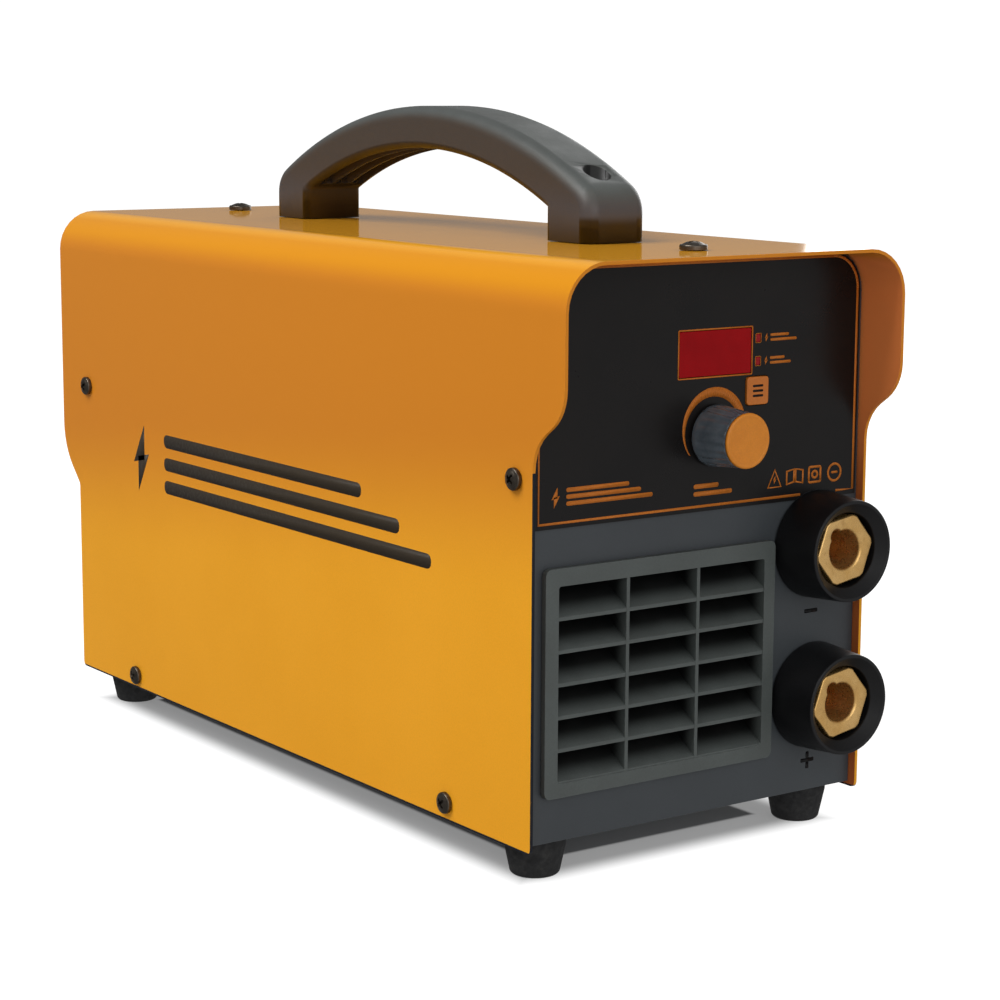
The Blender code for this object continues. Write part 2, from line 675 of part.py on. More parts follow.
def make_knob():
    """Fluted knob with its cap, the shaft, and the potentiometer with its nut."""
    centre = (KNOB_X, KNOB_Z)
    back = LABEL_FACE_Y - 0.7 * MM
    front = KNOB_FRONT_Y + 1.5 * MM
    bush_front = LABEL_FACE_Y - 3.4 * MM
    shaft_tip = KNOB_FRONT_Y + 7 * MM
    body = fluted(
        [
            (0, shaft_tip - GAP, False),
            (3.3 * MM, shaft_tip - GAP, False),
            (3.3 * MM, back - 5 * MM, False),
            (8.6 * MM, back - 5 * MM, False),
            (8.6 * MM, back, False),
            (KNOB_BASE_RADIUS, back, True),
            (KNOB_FRONT_RADIUS + 0.1 * MM, front + 0.8 * MM, True),
            (KNOB_FRONT_RADIUS - 0.5 * MM, front, False),
            (4.3 * MM, front, False),
            (4.3 * MM, front + 2 * MM, False),
            (0, front + 2 * MM, False),
        ],
        KNOB_FLUTES,
        centre,
        0.45 * MM,
    )
    finish(body, "knob_body", "knob_smoke", (KNOB_X, 0, KNOB_Z))
    cap_back = front - GAP
    cap = turned(
        [
            (0, front + 1.7 * MM),
            (4 * MM, front + 1.7 * MM),
            (4 * MM, cap_back),
            (9.4 * MM, cap_back),
            (9.4 * MM, KNOB_FRONT_Y + 0.4 * MM),
            (9.0 * MM, KNOB_FRONT_Y),
            (0, KNOB_FRONT_Y),
        ],
        "Y",
        centre,
        28,
    )
    finish(cap, "knob_cap", "key_orange", (KNOB_X, 0, KNOB_Z))
    shaft = prism(circle(*centre, KNOB_SHAFT_RADIUS, 24), "Y", shaft_tip, LABEL_FACE_Y + 9 * MM)
    finish(shaft, "knob_shaft", "zinc_steel", (KNOB_X, 0, KNOB_Z))
    pot_front = FRONT_FACE_Y + SHEET + GAP
    pot = turned(
        [
            (0, LABEL_FACE_Y + 9.4 * MM),
            (3.25 * MM, LABEL_FACE_Y + 9.4 * MM),
            (3.25 * MM, bush_front),
            (3.9 * MM, bush_front),
            (3.9 * MM, pot_front),
            (8.5 * MM, pot_front),
            (8.5 * MM, CONTROL_BOARD_Y - GAP),
            (0, CONTROL_BOARD_Y - GAP),
        ],
        "Y",
        centre,
        24,
    )
    finish(pot, "potentiometer", "zinc_steel")
    nut = prism(hexagon(*centre, 10 * MM), "Y", LABEL_FACE_Y - 2.2 * MM, LABEL_FACE_Y - GAP)
    cut(nut, through(circle(*centre, 3.9 * MM + GAP, 24), LABEL_FACE_Y))
    finish(nut, "potentiometer_nut", "zinc_steel")


# Front grille

def louvre_blade(front_y, row_z):
    """Cross-section of one blade: its lower front edge is at row_z, and it rises to the back."""
    depth = GRILLE_DEPTH - 0.6 * MM
    rise = depth * math.tan(math.radians(BLADE_ANGLE))
    thick = BLADE_THICK / math.cos(math.radians(BLADE_ANGLE))
    points = [(front_y, row_z), (front_y + depth, row_z + rise)]
    return points + [(front_y + depth, row_z + rise + thick), (front_y, row_z + thick)]


def make_grille():
    """Frame with a wall through the panel, crossed by sloping blades and upright ribs."""
    back_y = FRONT_FACE_Y - GAP
    front_y = back_y - GRILLE_PROUD
    inner_y = front_y + 0.3 * MM
    grille = prism(rounded_box(GRILLE_X, GRILLE_Z, GRILLE_CORNER), "Y", front_y, back_y)
    wall = rounded_box(grown(WINDOW_X, GRILLE_WALL), grown(WINDOW_Z, GRILLE_WALL), 1.5 * MM)
    add(grille, prism(wall, "Y", front_y + 1 * MM, front_y + GRILLE_DEPTH))
    opening = rounded_box(WINDOW_X, WINDOW_Z, 0.6 * MM, 1)
    cut(grille, prism(opening, "Y", front_y - 5 * MM, front_y + GRILLE_DEPTH + 5 * MM))
    pitch = (WINDOW_Z[1] - WINDOW_Z[0]) / GRILLE_ROWS
    blades = []
    for row in range(GRILLE_ROWS):
        section = louvre_blade(inner_y, WINDOW_Z[0] + row * pitch - BLADE_THICK / 2)
        blades.append(prism(section, "X", *grown(WINDOW_X, GRILLE_WALL / 2)))
    add(grille, *blades)
    depth = (inner_y - 0.1 * MM, front_y + GRILLE_DEPTH - 0.3 * MM)
    height = grown(WINDOW_Z, GRILLE_WALL / 2)
    add(grille, *[box(span(x, GRILLE_RIB), depth, height) for x in GRILLE_RIB_X])
    finish(grille, "front_grille", "grille_plastic")


# Lead sockets

def collar_profile():
    """Black collar: tapered outside, dished front, bore for the stud, spigot through the panel."""
    back = FRONT_FACE_Y - GAP
    spigot_end = FRONT_FACE_Y + SHEET + 2.6 * MM
    floor = BRASS_FACE_Y + 11.8 * MM
    return [
        (COLLAR_FRONT_RADIUS - 0.6 * MM, SOCKET_FRONT_Y),
        (COLLAR_FRONT_RADIUS, SOCKET_FRONT_Y + 0.6 * MM),
        (COLLAR_BASE_RADIUS, back),
        (COLLAR_SPIGOT_RADIUS, back),
        (COLLAR_SPIGOT_RADIUS, spigot_end),
        (STUD_RADIUS + 0.4 * MM, spigot_end),
        (STUD_RADIUS + 0.4 * MM, floor),
        (COLLAR_RECESS_RADIUS, floor),
        (COLLAR_RECESS_RADIUS, BRASS_FACE_Y),
        (COLLAR_FRONT_RADIUS - 1.5 * MM, SOCKET_FRONT_Y),
    ]


def bore_with_keyway(x, z):
    """Round bore with a rounded key slot towards one side."""
    lean = math.radians(KEYWAY_ANGLE)
    inside = KEYWAY_REACH - KEYWAY_HALF_WIDTH
    tip = (x + inside * math.cos(lean), z + inside * math.sin(lean))
    depth = (BRASS_FACE_Y - 1 * MM, BRASS_FACE_Y + SOCKET_BORE_DEPTH)
    bore = prism(circle(x, z, SOCKET_BORE_RADIUS, 28), "Y", *depth)
    key = circle(*tip, KEYWAY_HALF_WIDTH, 14)
    return add(bore, prism(key, "Y", depth[0], depth[0] + KEYWAY_DEPTH))


def make_socket(name, z):
    centre = (SOCKET_X, z)
    collar = turned(collar_profile(), "Y", centre, 36, closed=True)
    finish(collar, f"socket_collar_{name}", "black_plastic")
    shoulder = BRASS_FACE_Y + 11.5 * MM
    stud_end = FRONT_FACE_Y + 18 * MM
    brass = prism(hexagon(*centre, BRASS_ACROSS_FLATS, BRASS_TURN), "Y", BRASS_FACE_Y, shoulder)
    turned_down = circle(*centre, BRASS_TURNED_RADIUS, 36)
    common(brass, prism(turned_down, "Y", BRASS_FACE_Y - 1 * MM, shoulder + 1 * MM))
    add(brass, prism(circle(*centre, STUD_RADIUS, 28), "Y", shoulder - 1 * MM, stud_end))
    cut(brass, bore_with_keyway(*centre))
    finish(brass, f"socket_brass_{name}", "brass")
    nut_front = FRONT_FACE_Y + SHEET + 2.9 * MM
    nut = prism(hexagon(*centre, 27 * MM), "Y", nut_front, nut_front + 7 * MM)
    cut(nut, prism(circle(*centre, STUD_RADIUS + GAP, 28), "Y", nut_front - 1 * MM, nut_front + 8 * MM))
    finish(nut, f"socket_nut_{name}", "brass")


def make_bus_bar(name, plate, leg):
    """Copper bar held on a stud, with a leg turned back towards the power board."""
    low = FRONT_FACE_Y + SHEET + 10.2 * MM
    high = low + 2.5 * MM
    x, z = SOCKET_X, SOCKET_Z[name]
    bar = prism(circle(x, z, 13 * MM, 24), "Y", low, high)
    add(bar, box(plate[0], (low + 0.02 * MM, high - 0.02 * MM), plate[1]))
    add(bar, box(leg[0], (low + 1 * MM, leg[2]), leg[1]))
    cut(bar, prism(circle(x, z, STUD_RADIUS + GAP, 28), "Y", low - 1 * MM, high + 1 * MM))
    finish(bar, f"bus_bar_{name}", "copper")


def make_bus_bars():
    upper, lower = SOCKET_Z["negative"], SOCKET_Z["positive"]
    down = (span(SOCKET_X, 16 * MM), (upper - 24 * MM, upper - 8 * MM))
    down_leg = (span(SOCKET_X, 15 * MM), (upper - 24 * MM, upper - 21.5 * MM), -109 * MM)
    make_bus_bar("negative", down, down_leg)
    across = ((16 * MM, SOCKET_X - 8 * MM), span(lower, 16 * MM))
    across_leg = ((16 * MM, 18.5 * MM), span(lower, 15 * MM), -95 * MM)
    make_bus_bar("positive", across, across_leg)


# Handle

def bow_outline():
    """Outside of the handle seen from the side: front foot, round shoulders and bow, rear foot."""
    top = HANDLE_BASE_Z + HANDLE_RISE
    bow_z = top - HANDLE_TOP_RADIUS
    shoulder_y = HANDLE_HALF_LENGTH - HANDLE_SHOULDER_RADIUS
    inside = HANDLE_TOP_RADIUS - HANDLE_SHOULDER_RADIUS
    lean = math.degrees(math.acos(shoulder_y / inside))
    shoulder_z = bow_z + inside * math.sin(math.radians(lean))
    points = [(HANDLE_Y - HANDLE_HALF_LENGTH, HANDLE_BASE_Z)]
    points += arc(HANDLE_Y - shoulder_y, shoulder_z, HANDLE_SHOULDER_RADIUS, 180, 180 - lean, 5)
    points += arc(HANDLE_Y, bow_z, HANDLE_TOP_RADIUS, 180 - lean, lean, 18)[1:-1]
    points += arc(HANDLE_Y + shoulder_y, shoulder_z, HANDLE_SHOULDER_RADIUS, lean, 0, 5)
    points.append((HANDLE_Y + HANDLE_HALF_LENGTH, HANDLE_BASE_Z))
    return points


def grip_outline():
    """Inside of the grip opening, from the rear foot to the front foot."""
    grip_z = HANDLE_BASE_Z + GRIP_RISE - GRIP_RADIUS
    lean = math.degrees(math.acos(GRIP_HALF_SPAN / GRIP_RADIUS))
    points = [(HANDLE_Y + GRIP_HALF_SPAN, HANDLE_BASE_Z)]
    points += arc(HANDLE_Y, grip_z, GRIP_RADIUS, lean, 180 - lean, 18)
    points.append((HANDLE_Y - GRIP_HALF_SPAN, HANDLE_BASE_Z))
    return points


def grip_channels():
    """Cutters for the three channels between the underside's walls and ribs."""
    grip_z = HANDLE_BASE_Z + GRIP_RISE - GRIP_RADIUS
    lean = math.degrees(math.acos(CHANNEL_HALF_SPAN / GRIP_RADIUS))
    outline = arc(HANDLE_Y, grip_z, GRIP_RADIUS + CHANNEL_DEPTH, lean, 180 - lean, 14)
    outline += arc(HANDLE_Y, grip_z, GRIP_RADIUS - CHANNEL_DEPTH, 180 - lean, lean, 6)
    clear_width = HANDLE_WIDTH - 2 * HANDLE_WALL
    width = (clear_width - 2 * HANDLE_RIB) / 3
    starts = [i * (width + HANDLE_RIB) - clear_width / 2 for i in range(3)]
    return [prism(outline, "X", start, start + width) for start in starts]


def on_bow(edge):
    """True for the two long edges that run over the outside of the bow."""
    places = [(round(y / MM, 2), round(z / MM, 2)) for y, z in bow_outline()]
    sides = {round(vert.co.x / MM) for vert in edge.verts}
    ends = [(round(vert.co.y / MM, 2), round(vert.co.z / MM, 2)) for vert in edge.verts]
    return len(sides) == 1 and all(end in places for end in ends)


def make_handle():
    half = HANDLE_WIDTH / 2
    handle = prism(bow_outline() + grip_outline(), "X", -half, half)
    bevelled(handle, HANDLE_EDGE_RADIUS, 4, on_bow)
    head_z = HANDLE_BASE_Z + 9 * MM
    cutters = grip_channels()
    for side_name, side in (("front", -1), ("rear", 1)):
        y = HANDLE_Y + side * HANDLE_SCREW_OFFSET
        counterbore = prism(circle(0, y, 5 * MM, 20), "Z", head_z, HANDLE_BASE_Z + HANDLE_RISE)
        shaft_hole = prism(circle(0, y, 2.8 * MM, 12), "Z", HANDLE_BASE_Z - 1 * MM, head_z + 1 * MM)
        cutters.append(add(counterbore, shaft_hole))
        screw = crossed_screw(4.4 * MM, 3.2 * MM, 22 * MM)
        screw.data.transform(Matrix.Translation((0, y, head_z + GAP)))
        finish(screw, f"handle_screw_{side_name}", "zinc_steel")
    cut(handle, *cutters)
    finish(handle, "handle", "handle_plastic")


# Fan, mains switch and cable gland

def make_fan():
    """Square fan frame with its spokes, and the impeller that turns in it."""
    back = REAR_FACE_Y - SHEET - GAP
    front = back - FAN_DEPTH
    x, z = span(0, FAN_SIZE), span(FAN_Z, FAN_SIZE)
    frame = prism(rounded_box(x, z, 5 * MM), "Y", front, back)
    cut(frame, prism(circle(0, FAN_Z, FAN_BORE_RADIUS, 32), "Y", front - 1 * MM, back + 1 * MM))
    spokes = [prism(circle(0, FAN_Z, FAN_HUB_RADIUS, 24), "Y", back - 3 * MM, back - 0.1 * MM)]
    for turn in (45, 135):
        spoke = box((-46 * MM, 46 * MM), (back - 2.8 * MM, back - 0.3 * MM), span(FAN_Z, 4 * MM))
        spokes.append(turn_mesh(spoke, turn, "Y", (0, 0, FAN_Z)))
    for spoke in spokes:
        add(frame, spoke)
    finish(frame, "fan_frame", "black_plastic")
    hub_y = (front + 1.5 * MM, back - 4 * MM)
    impeller = prism(circle(0, FAN_Z, FAN_HUB_RADIUS - 0.5 * MM, 28), "Y", *hub_y)
    middle = sum(hub_y) / 2
    blades = []
    for i in range(FAN_BLADES):
        reach = (FAN_Z + 15 * MM, FAN_Z + 41.5 * MM)
        blade = box((-8.5 * MM, 8.5 * MM), span(middle, 1.6 * MM), reach)
        turn_mesh(blade, 38, "Z", (0, middle, FAN_Z))
        blades.append(turn_mesh(blade, i * 360 / FAN_BLADES, "Y", (0, middle, FAN_Z)))
    add(impeller, *blades)
    finish(impeller, "fan_impeller", "black_plastic", (0, middle, FAN_Z))


def make_mains_switch():
    """Rocker switch: the flanged body, and the rocker resting on its off stop."""
    flange_y = (REAR_FACE_Y + GAP, REAR_FACE_Y + 2.3 * MM)
    outline = rounded_box(span(SWITCH_X, 25 * MM), span(SWITCH_Z, 32 * MM), 1.5 * MM)
    flange = prism(outline, "Y", *flange_y)
    depth = (REAR_FACE_Y - 19 * MM, flange_y[1] - 0.5 * MM)
    add(flange, box(span(SWITCH_X, 21 * MM), depth, span(SWITCH_Z, 28 * MM)))
    well_depth = (ROCKER_PIVOT_Y - 9 * MM, flange_y[1] + 5 * MM)
    cut(flange, box(span(SWITCH_X, 18 * MM), well_depth, span(SWITCH_Z, 24.6 * MM)))
    finish(flange, "mains_switch_body", "black_plastic")
    outline = [(2.0, 11.5), (0.6, 0), (2.0, -11.5), (-1.5, -11.5), (-6, -4), (-6, 4), (-1.5, 11.5)]
    points = [(ROCKER_PIVOT_Y + y * MM, SWITCH_Z + z * MM) for y, z in outline]
    rocker = prism(points, "X", *span(SWITCH_X, 17.2 * MM))
    pivot = (SWITCH_X, ROCKER_PIVOT_Y, SWITCH_Z)
    turn_mesh(rocker, -ROCKER_TILT, "X", pivot)
    finish(rocker, "mains_rocker", "black_plastic", pivot)


def make_gland():
    """Cable gland with its clamping nut in one piece outside, and the lock nut inside."""
    centre = (GLAND_X, GLAND_Z)
    face = REAR_FACE_Y + GAP
    gland = turned(
        [
            (GLAND_BORE_RADIUS, face + 16.8 * MM),
            (8 * MM, face + 16.8 * MM),
            (10.6 * MM, face + 14.5 * MM),
            (11.4 * MM, face + 6 * MM),
            (10.4 * MM, face + 5.6 * MM),
            (10.4 * MM, face + 4.6 * MM),
            (12 * MM, face + 4.4 * MM),
            (12 * MM, face),
            (9.6 * MM, face),
            (9.6 * MM, REAR_FACE_Y - 11 * MM),
            (GLAND_BORE_RADIUS, REAR_FACE_Y - 11 * MM),
        ],
        "Y",
        centre,
        24,
        closed=True,
    )
    finish(gland, "cable_gland", "black_plastic")
    nut_back = REAR_FACE_Y - SHEET - GAP
    nut = prism(hexagon(*centre, 26 * MM), "Y", nut_back - 5 * MM, nut_back)
    cut(nut, prism(circle(*centre, 9.6 * MM + GAP, 24), "Y", nut_back - 6 * MM, nut_back + 1 * MM))
    finish(nut, "gland_nut", "black_plastic")


# Power stage

def make_main_board():
    board = box((-62 * MM, 62 * MM), (-118 * MM, 124 * MM), (BOARD_Z, BOARD_Z + BOARD_THICK))
    finish(board, "main_board", "board_green")


def heat_sink_section(root_x, tip_x, low_z, fins):
    """Upright back with level fins, as one comb outline from bottom to top."""
    back_x = root_x + (tip_x - root_x) * 0.16
    pitch, fin = 7 * MM, 1.8 * MM
    points = [(root_x, low_z)]
    for i in range(fins):
        z = low_z + i * pitch
        points += [(tip_x, z), (tip_x, z + fin)]
        if i < fins - 1:
            points += [(back_x, z + fin), (back_x, z + pitch)]
    points.append((root_x, low_z + (fins - 1) * pitch + fin))
    return points


def make_heat_sinks():
    low = BOARD_Z + BOARD_THICK + GAP
    for name, side in (("left", -1), ("right", 1)):
        section = heat_sink_section(side * 34 * MM, side * 60 * MM, low, 10)
        finish(prism(section, "Y", -105 * MM, 25 * MM), f"heat_sink_{name}", "aluminium")


def make_power_parts():
    """Transformer, output choke and bulk capacitors standing on the main board."""
    low = BOARD_Z + BOARD_THICK + GAP
    core = box((-24 * MM, 24 * MM), (-80 * MM, -52 * MM), (low, low + 46 * MM))
    winding = rounded_box((-17 * MM, 17 * MM), (-91 * MM, -41 * MM), 6 * MM)
    add(core, prism(winding, "Z", low + 7 * MM, low + 39 * MM))
    finish(core, "transformer", "component")
    choke = turned(
        [(9 * MM, low), (22 * MM, low), (22 * MM, low + 20 * MM), (9 * MM, low + 20 * MM)],
        "Z",
        (0, -8 * MM),
        28,
        closed=True,
    )
    finish(choke, "output_choke", "copper")
    for name, x in (("left", -17 * MM), ("right", 17 * MM)):
        can = turned(
            [
                (0, low),
                (15 * MM, low),
                (15 * MM, low + 44 * MM),
                (14 * MM, low + 45 * MM),
                (0, low + 45 * MM),
            ],
            "Z",
            (x, 48 * MM),
            24,
        )
        finish(can, f"capacitor_{name}", "sleeve_blue")


def main():
    clear_scene()
    make_hood()
    make_base()
    make_front_panel()
    make_rear_panel()
    make_feet()
    make_side_screws()
    make_top_screws()
    make_label()
    make_display()
    make_function_key()
    make_knob()
    make_grille()
    for name, z in SOCKET_Z.items():
        make_socket(name, z)
    make_bus_bars()
    make_handle()
    make_fan()
    make_mains_switch()
    make_gland()
    make_main_board()
    make_heat_sinks()
    make_power_parts()


main()
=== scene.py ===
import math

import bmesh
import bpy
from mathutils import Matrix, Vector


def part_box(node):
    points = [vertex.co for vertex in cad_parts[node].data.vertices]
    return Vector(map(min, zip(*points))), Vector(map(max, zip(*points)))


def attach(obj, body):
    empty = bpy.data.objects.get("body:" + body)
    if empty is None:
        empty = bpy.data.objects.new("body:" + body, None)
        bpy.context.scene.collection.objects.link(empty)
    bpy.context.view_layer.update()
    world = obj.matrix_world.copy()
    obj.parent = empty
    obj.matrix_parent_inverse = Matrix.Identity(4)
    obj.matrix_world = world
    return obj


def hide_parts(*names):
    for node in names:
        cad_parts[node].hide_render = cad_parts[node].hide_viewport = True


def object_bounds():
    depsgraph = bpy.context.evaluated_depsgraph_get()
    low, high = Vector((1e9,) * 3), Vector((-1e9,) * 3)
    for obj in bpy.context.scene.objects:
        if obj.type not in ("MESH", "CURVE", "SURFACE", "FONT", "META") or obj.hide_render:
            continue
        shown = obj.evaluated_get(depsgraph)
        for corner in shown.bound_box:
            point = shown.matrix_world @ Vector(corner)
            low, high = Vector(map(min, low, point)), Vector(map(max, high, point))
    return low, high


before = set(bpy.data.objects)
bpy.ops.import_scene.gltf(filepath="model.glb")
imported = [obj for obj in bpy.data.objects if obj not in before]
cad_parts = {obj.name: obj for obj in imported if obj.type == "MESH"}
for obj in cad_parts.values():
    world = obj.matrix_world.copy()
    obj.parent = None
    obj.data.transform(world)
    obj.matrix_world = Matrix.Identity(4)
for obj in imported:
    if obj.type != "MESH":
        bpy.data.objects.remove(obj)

# Looks of a stick welding inverter: an orange sheet-steel hood round a grey front and rear
# panel, with a black control label, a louvred grille and two brass lead sockets.
# The frame's own solids keep the shapes that are right as they are. The pieces that need a
# finer surface are built again here at the same places, and each stands for its own node.

MM = 0.001
CAD_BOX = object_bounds()
LOW, HIGH = CAD_BOX

# Camera: where it stands in the object's frame, and which way it looks
CAMERA_PLACE = (-0.539, -0.8067, 0.2634)
CAMERA_YAW = 35.22
CAMERA_PITCH = 9.45
CAMERA_ROLL = 0.29
CAMERA_LENS = 90.0
SENSOR = 36

# Studio: area lights by place, size and power, the sky's strength all round and in front,
# and the paper's own glow in the open, in the shade and where it throws light back
LIGHT_TARGET = (0, 0, 0.1)
LIGHTS = {
    "key_left": ((-1.12, 0.1, 1.49), (1.1, 1.1), 22.6),
    "fill_front": ((-0.3, -1.6, 0.6), (1.4, 1.0), 5),
    "fill_right": ((1.5, 0.7, 0.7), (1.2, 1.2), 10),
}
SKY_ROUND = 0.22
SKY_FRONT = 0.6
FLOOR_GLOW = 0.96
SHADE_GLOW = 0.22
BOUNCE_GLOW = 0.1

# The shade under the case, seen from above: middle and half size along each axis
SHADE = {"X": (-2.4 * MM, 74.2 * MM), "Y": (0, 162 * MM)}

WHITE = (1, 1, 1, 1)

# Handle: half length of the grip opening, its rise and radius, the bow's radius, the
# shoulders' radius and the screw wells' radius
GRIP_HALF = 82.2 * MM
GRIP_RISE = 30.4 * MM
GRIP_RADIUS = 188 * MM
BOW_RADIUS = 213 * MM
SHOULDER_RADIUS = 12 * MM
HANDLE_WELL_RADIUS = 5 * MM

# Sockets: the brass hexagon, the turned corners, and the bore with its keyway
ACROSS_FLATS = 23 * MM
HEXAGON_TURN = 10
TURNED_RADIUS = 12.75 * MM
BORE = 6.7 * MM
KEYWAY_ANGLE = 128
KEYWAY_REACH = 8.5 * MM
KEYWAY_HALF = 2.5 * MM

# How far the printing stands proud of its face
INK = 0.06 * MM

# Screws: head radius, head height, shank length and look
SHANK_RADIUS = 1.9 * MM
SCREWS = {
    "handle_screw": (4.4 * MM, 3.2 * MM, 22 * MM, "zinc_steel"),
    "side_screw": (3.8 * MM, 2.6 * MM, 7 * MM, "black_steel"),
    "top_screw": (4.8 * MM, 3 * MM, 7 * MM, "black_steel"),
}


def mm(*sizes):
    """Millimetres as metres."""
    return [size * MM for size in sizes]


def srgb(red, green, blue):
    """A colour from its 0 to 255 sRGB values, as the shader wants it."""
    def linear(channel):
        value = channel / 255
        return value / 12.92 if value <= 0.04045 else ((value + 0.055) / 1.055) ** 2.4
    return (linear(red), linear(green), linear(blue), 1)


# Node materials

class Surface:
    """A procedural Principled material that is built up one property at a time."""

    def __init__(self, name, roughness, metallic=0.0):
        self.material = bpy.data.materials.new(name)
        self.material.use_nodes = True
        self.tree = self.material.node_tree
        self.shader = self.tree.nodes["Principled BSDF"]
        self.shader.inputs["Metallic"].default_value = metallic
        self.shader.inputs["Roughness"].default_value = roughness
        self.place = self.node("ShaderNodeTexCoord").outputs["Object"]
        self.colour = None
        self.normal = None

    def node(self, kind, inputs=None, **settings):
        """A node with its settings, and its inputs by name or number, as values or as sockets."""
        made = self.tree.nodes.new(kind)
        for name, value in settings.items():
            setattr(made, name, value)
        for name, value in (inputs or {}).items():
            if isinstance(value, bpy.types.NodeSocket):
                self.tree.links.new(value, made.inputs[name])
            else:
                made.inputs[name].default_value = value
        return made

    def link(self, output, socket):
        self.tree.links.new(output, self.shader.inputs[socket])

    def paint(self, colour):
        self.link(colour, "Base Color")

    def tint(self, mask, *tone):
        """Lay an sRGB tone over the colour so far, where mask is 1."""
        self.colour = self.mix(mask, self.colour, srgb(*tone))
        self.paint(self.colour)

    def polish(self, low, high, size, detail=3.0, stretch=None, start=0.3, end=0.7):
        """Roughness that wanders between low and high over about size metres."""
        pattern = self.noise(size, detail, stretch)
        self.link(self.spread(pattern, low, high, start, end), "Roughness")

    def set(self, **values):
        """Constant values, straight on the shader's own sockets."""
        for name, value in values.items():
            self.shader.inputs[name.replace("_", " ")].default_value = value

    def noise(self, size, detail=3.0, stretch=None):
        """Noise whose features are about size metres across, between 0 and 1."""
        place = self.place
        if stretch:
            place = self.node("ShaderNodeMapping", {"Vector": place, "Scale": stretch}).outputs[0]
        inputs = {"Vector": place, "Scale": 1 / size, "Detail": detail, "Roughness": 0.55}
        return self.node("ShaderNodeTexNoise", inputs).outputs[0]

    def along(self, axis):
        """One coordinate of the object's own place, in metres."""
        return self.node("ShaderNodeSeparateXYZ", {"Vector": self.place}).outputs[axis]

    def step(self, value, start, end, low=0.0, high=1.0, kind="SMOOTHSTEP"):
        """A soft step of value from low at start to high at end."""
        inputs = {"Value": value, "From Min": start, "From Max": end, "To Min": low, "To Max": high}
        return self.node("ShaderNodeMapRange", inputs, interpolation_type=kind).outputs[0]

    def cells(self, size):
        """Distance within cells of about size metres."""
        inputs = {"Vector": self.place, "Scale": 1 / size}
        return self.node("ShaderNodeTexVoronoi", inputs).outputs[0]

    def spread(self, value, low, high, start=0.3, end=0.7):
        """Map value evenly, from start to end, to low to high."""
        return self.step(value, start, end, low, high, "LINEAR")

    def mix(self, factor, first, second, blend="MIX"):
        """Blend two colours."""
        inputs = {0: factor, 6: first, 7: second}
        return self.node("ShaderNodeMix", inputs, data_type="RGBA", blend_type=blend).outputs[2]

    def math(self, operation, first, second=0.0):
        return self.node("ShaderNodeMath", {0: first, 1: second}, operation=operation).outputs[0]

    def facing(self):
        """The surface's normal as X, Y and Z outputs."""
        normal = self.node("ShaderNodeNewGeometry").outputs["Normal"]
        return self.node("ShaderNodeSeparateXYZ", {"Vector": normal}).outputs

    def bump(self, height, distance):
        """Add relief, whose full height is distance metres."""
        inputs = {"Height": height, "Distance": distance, "Strength": 1.0}
        if self.normal:
            inputs["Normal"] = self.normal
        self.normal = self.node("ShaderNodeBump", inputs).outputs[0]
        self.link(self.normal, "Normal")

    def edges(self, radius):
        """1 on edges and corners tighter than radius, 0 on flat ground."""
        rounded = self.node("ShaderNodeBevel", {"Radius": radius}, samples=4).outputs[0]
        flat = self.node("ShaderNodeNewGeometry").outputs["Normal"]
        return self.spread(self.dot(rounded, flat), 1.0, 0.0, 0.8, 0.99)

    def dot(self, first, second):
        inputs = {0: first, 1: second}
        return self.node("ShaderNodeVectorMath", inputs, operation="DOT_PRODUCT").outputs["Value"]


def mottled(surface, light, dark, size, fleck=0.0):
    """A colour that drifts between two tones, with finer flecks laid over it."""
    colour = surface.mix(surface.spread(surface.noise(size), 0.0, 1.0), dark, light)
    if fleck:
        grain = surface.spread(surface.noise(0.6 * MM, 2.0), 1 - fleck, 1 + fleck)
        channels = {"Red": grain, "Green": grain, "Blue": grain}
        grey = surface.node("ShaderNodeCombineColor", channels).outputs[0]
        colour = surface.mix(1.0, colour, grey, "MULTIPLY")
    return colour


def worn(surface, colour, bare, radius, amount):
    """Show a second colour along the edges, in broken patches."""
    patches = surface.spread(surface.noise(2.5 * MM, 4.0), 0.0, amount, 0.42, 0.62)
    return surface.mix(surface.math("MULTIPLY", surface.edges(radius), patches), colour, bare)


def powder_coat(name, light, dark, bare, roughness, peel):
    """Baked powder coat: orange-peel relief, faint cloudiness and rubbed edges."""
    surface = Surface(name, roughness)
    cloudy = mottled(surface, light, dark, 60 * MM, 0.03)
    surface.colour = worn(surface, cloudy, bare, 0.5 * MM, 0.5)
    surface.paint(surface.colour)
    surface.polish(roughness - 0.05, roughness + 0.08, 25 * MM, 5.0)
    surface.bump(surface.noise(1.4 * MM, 1.0), peel)
    surface.bump(surface.noise(0.25 * MM, 2.0), peel * 0.25)
    return surface


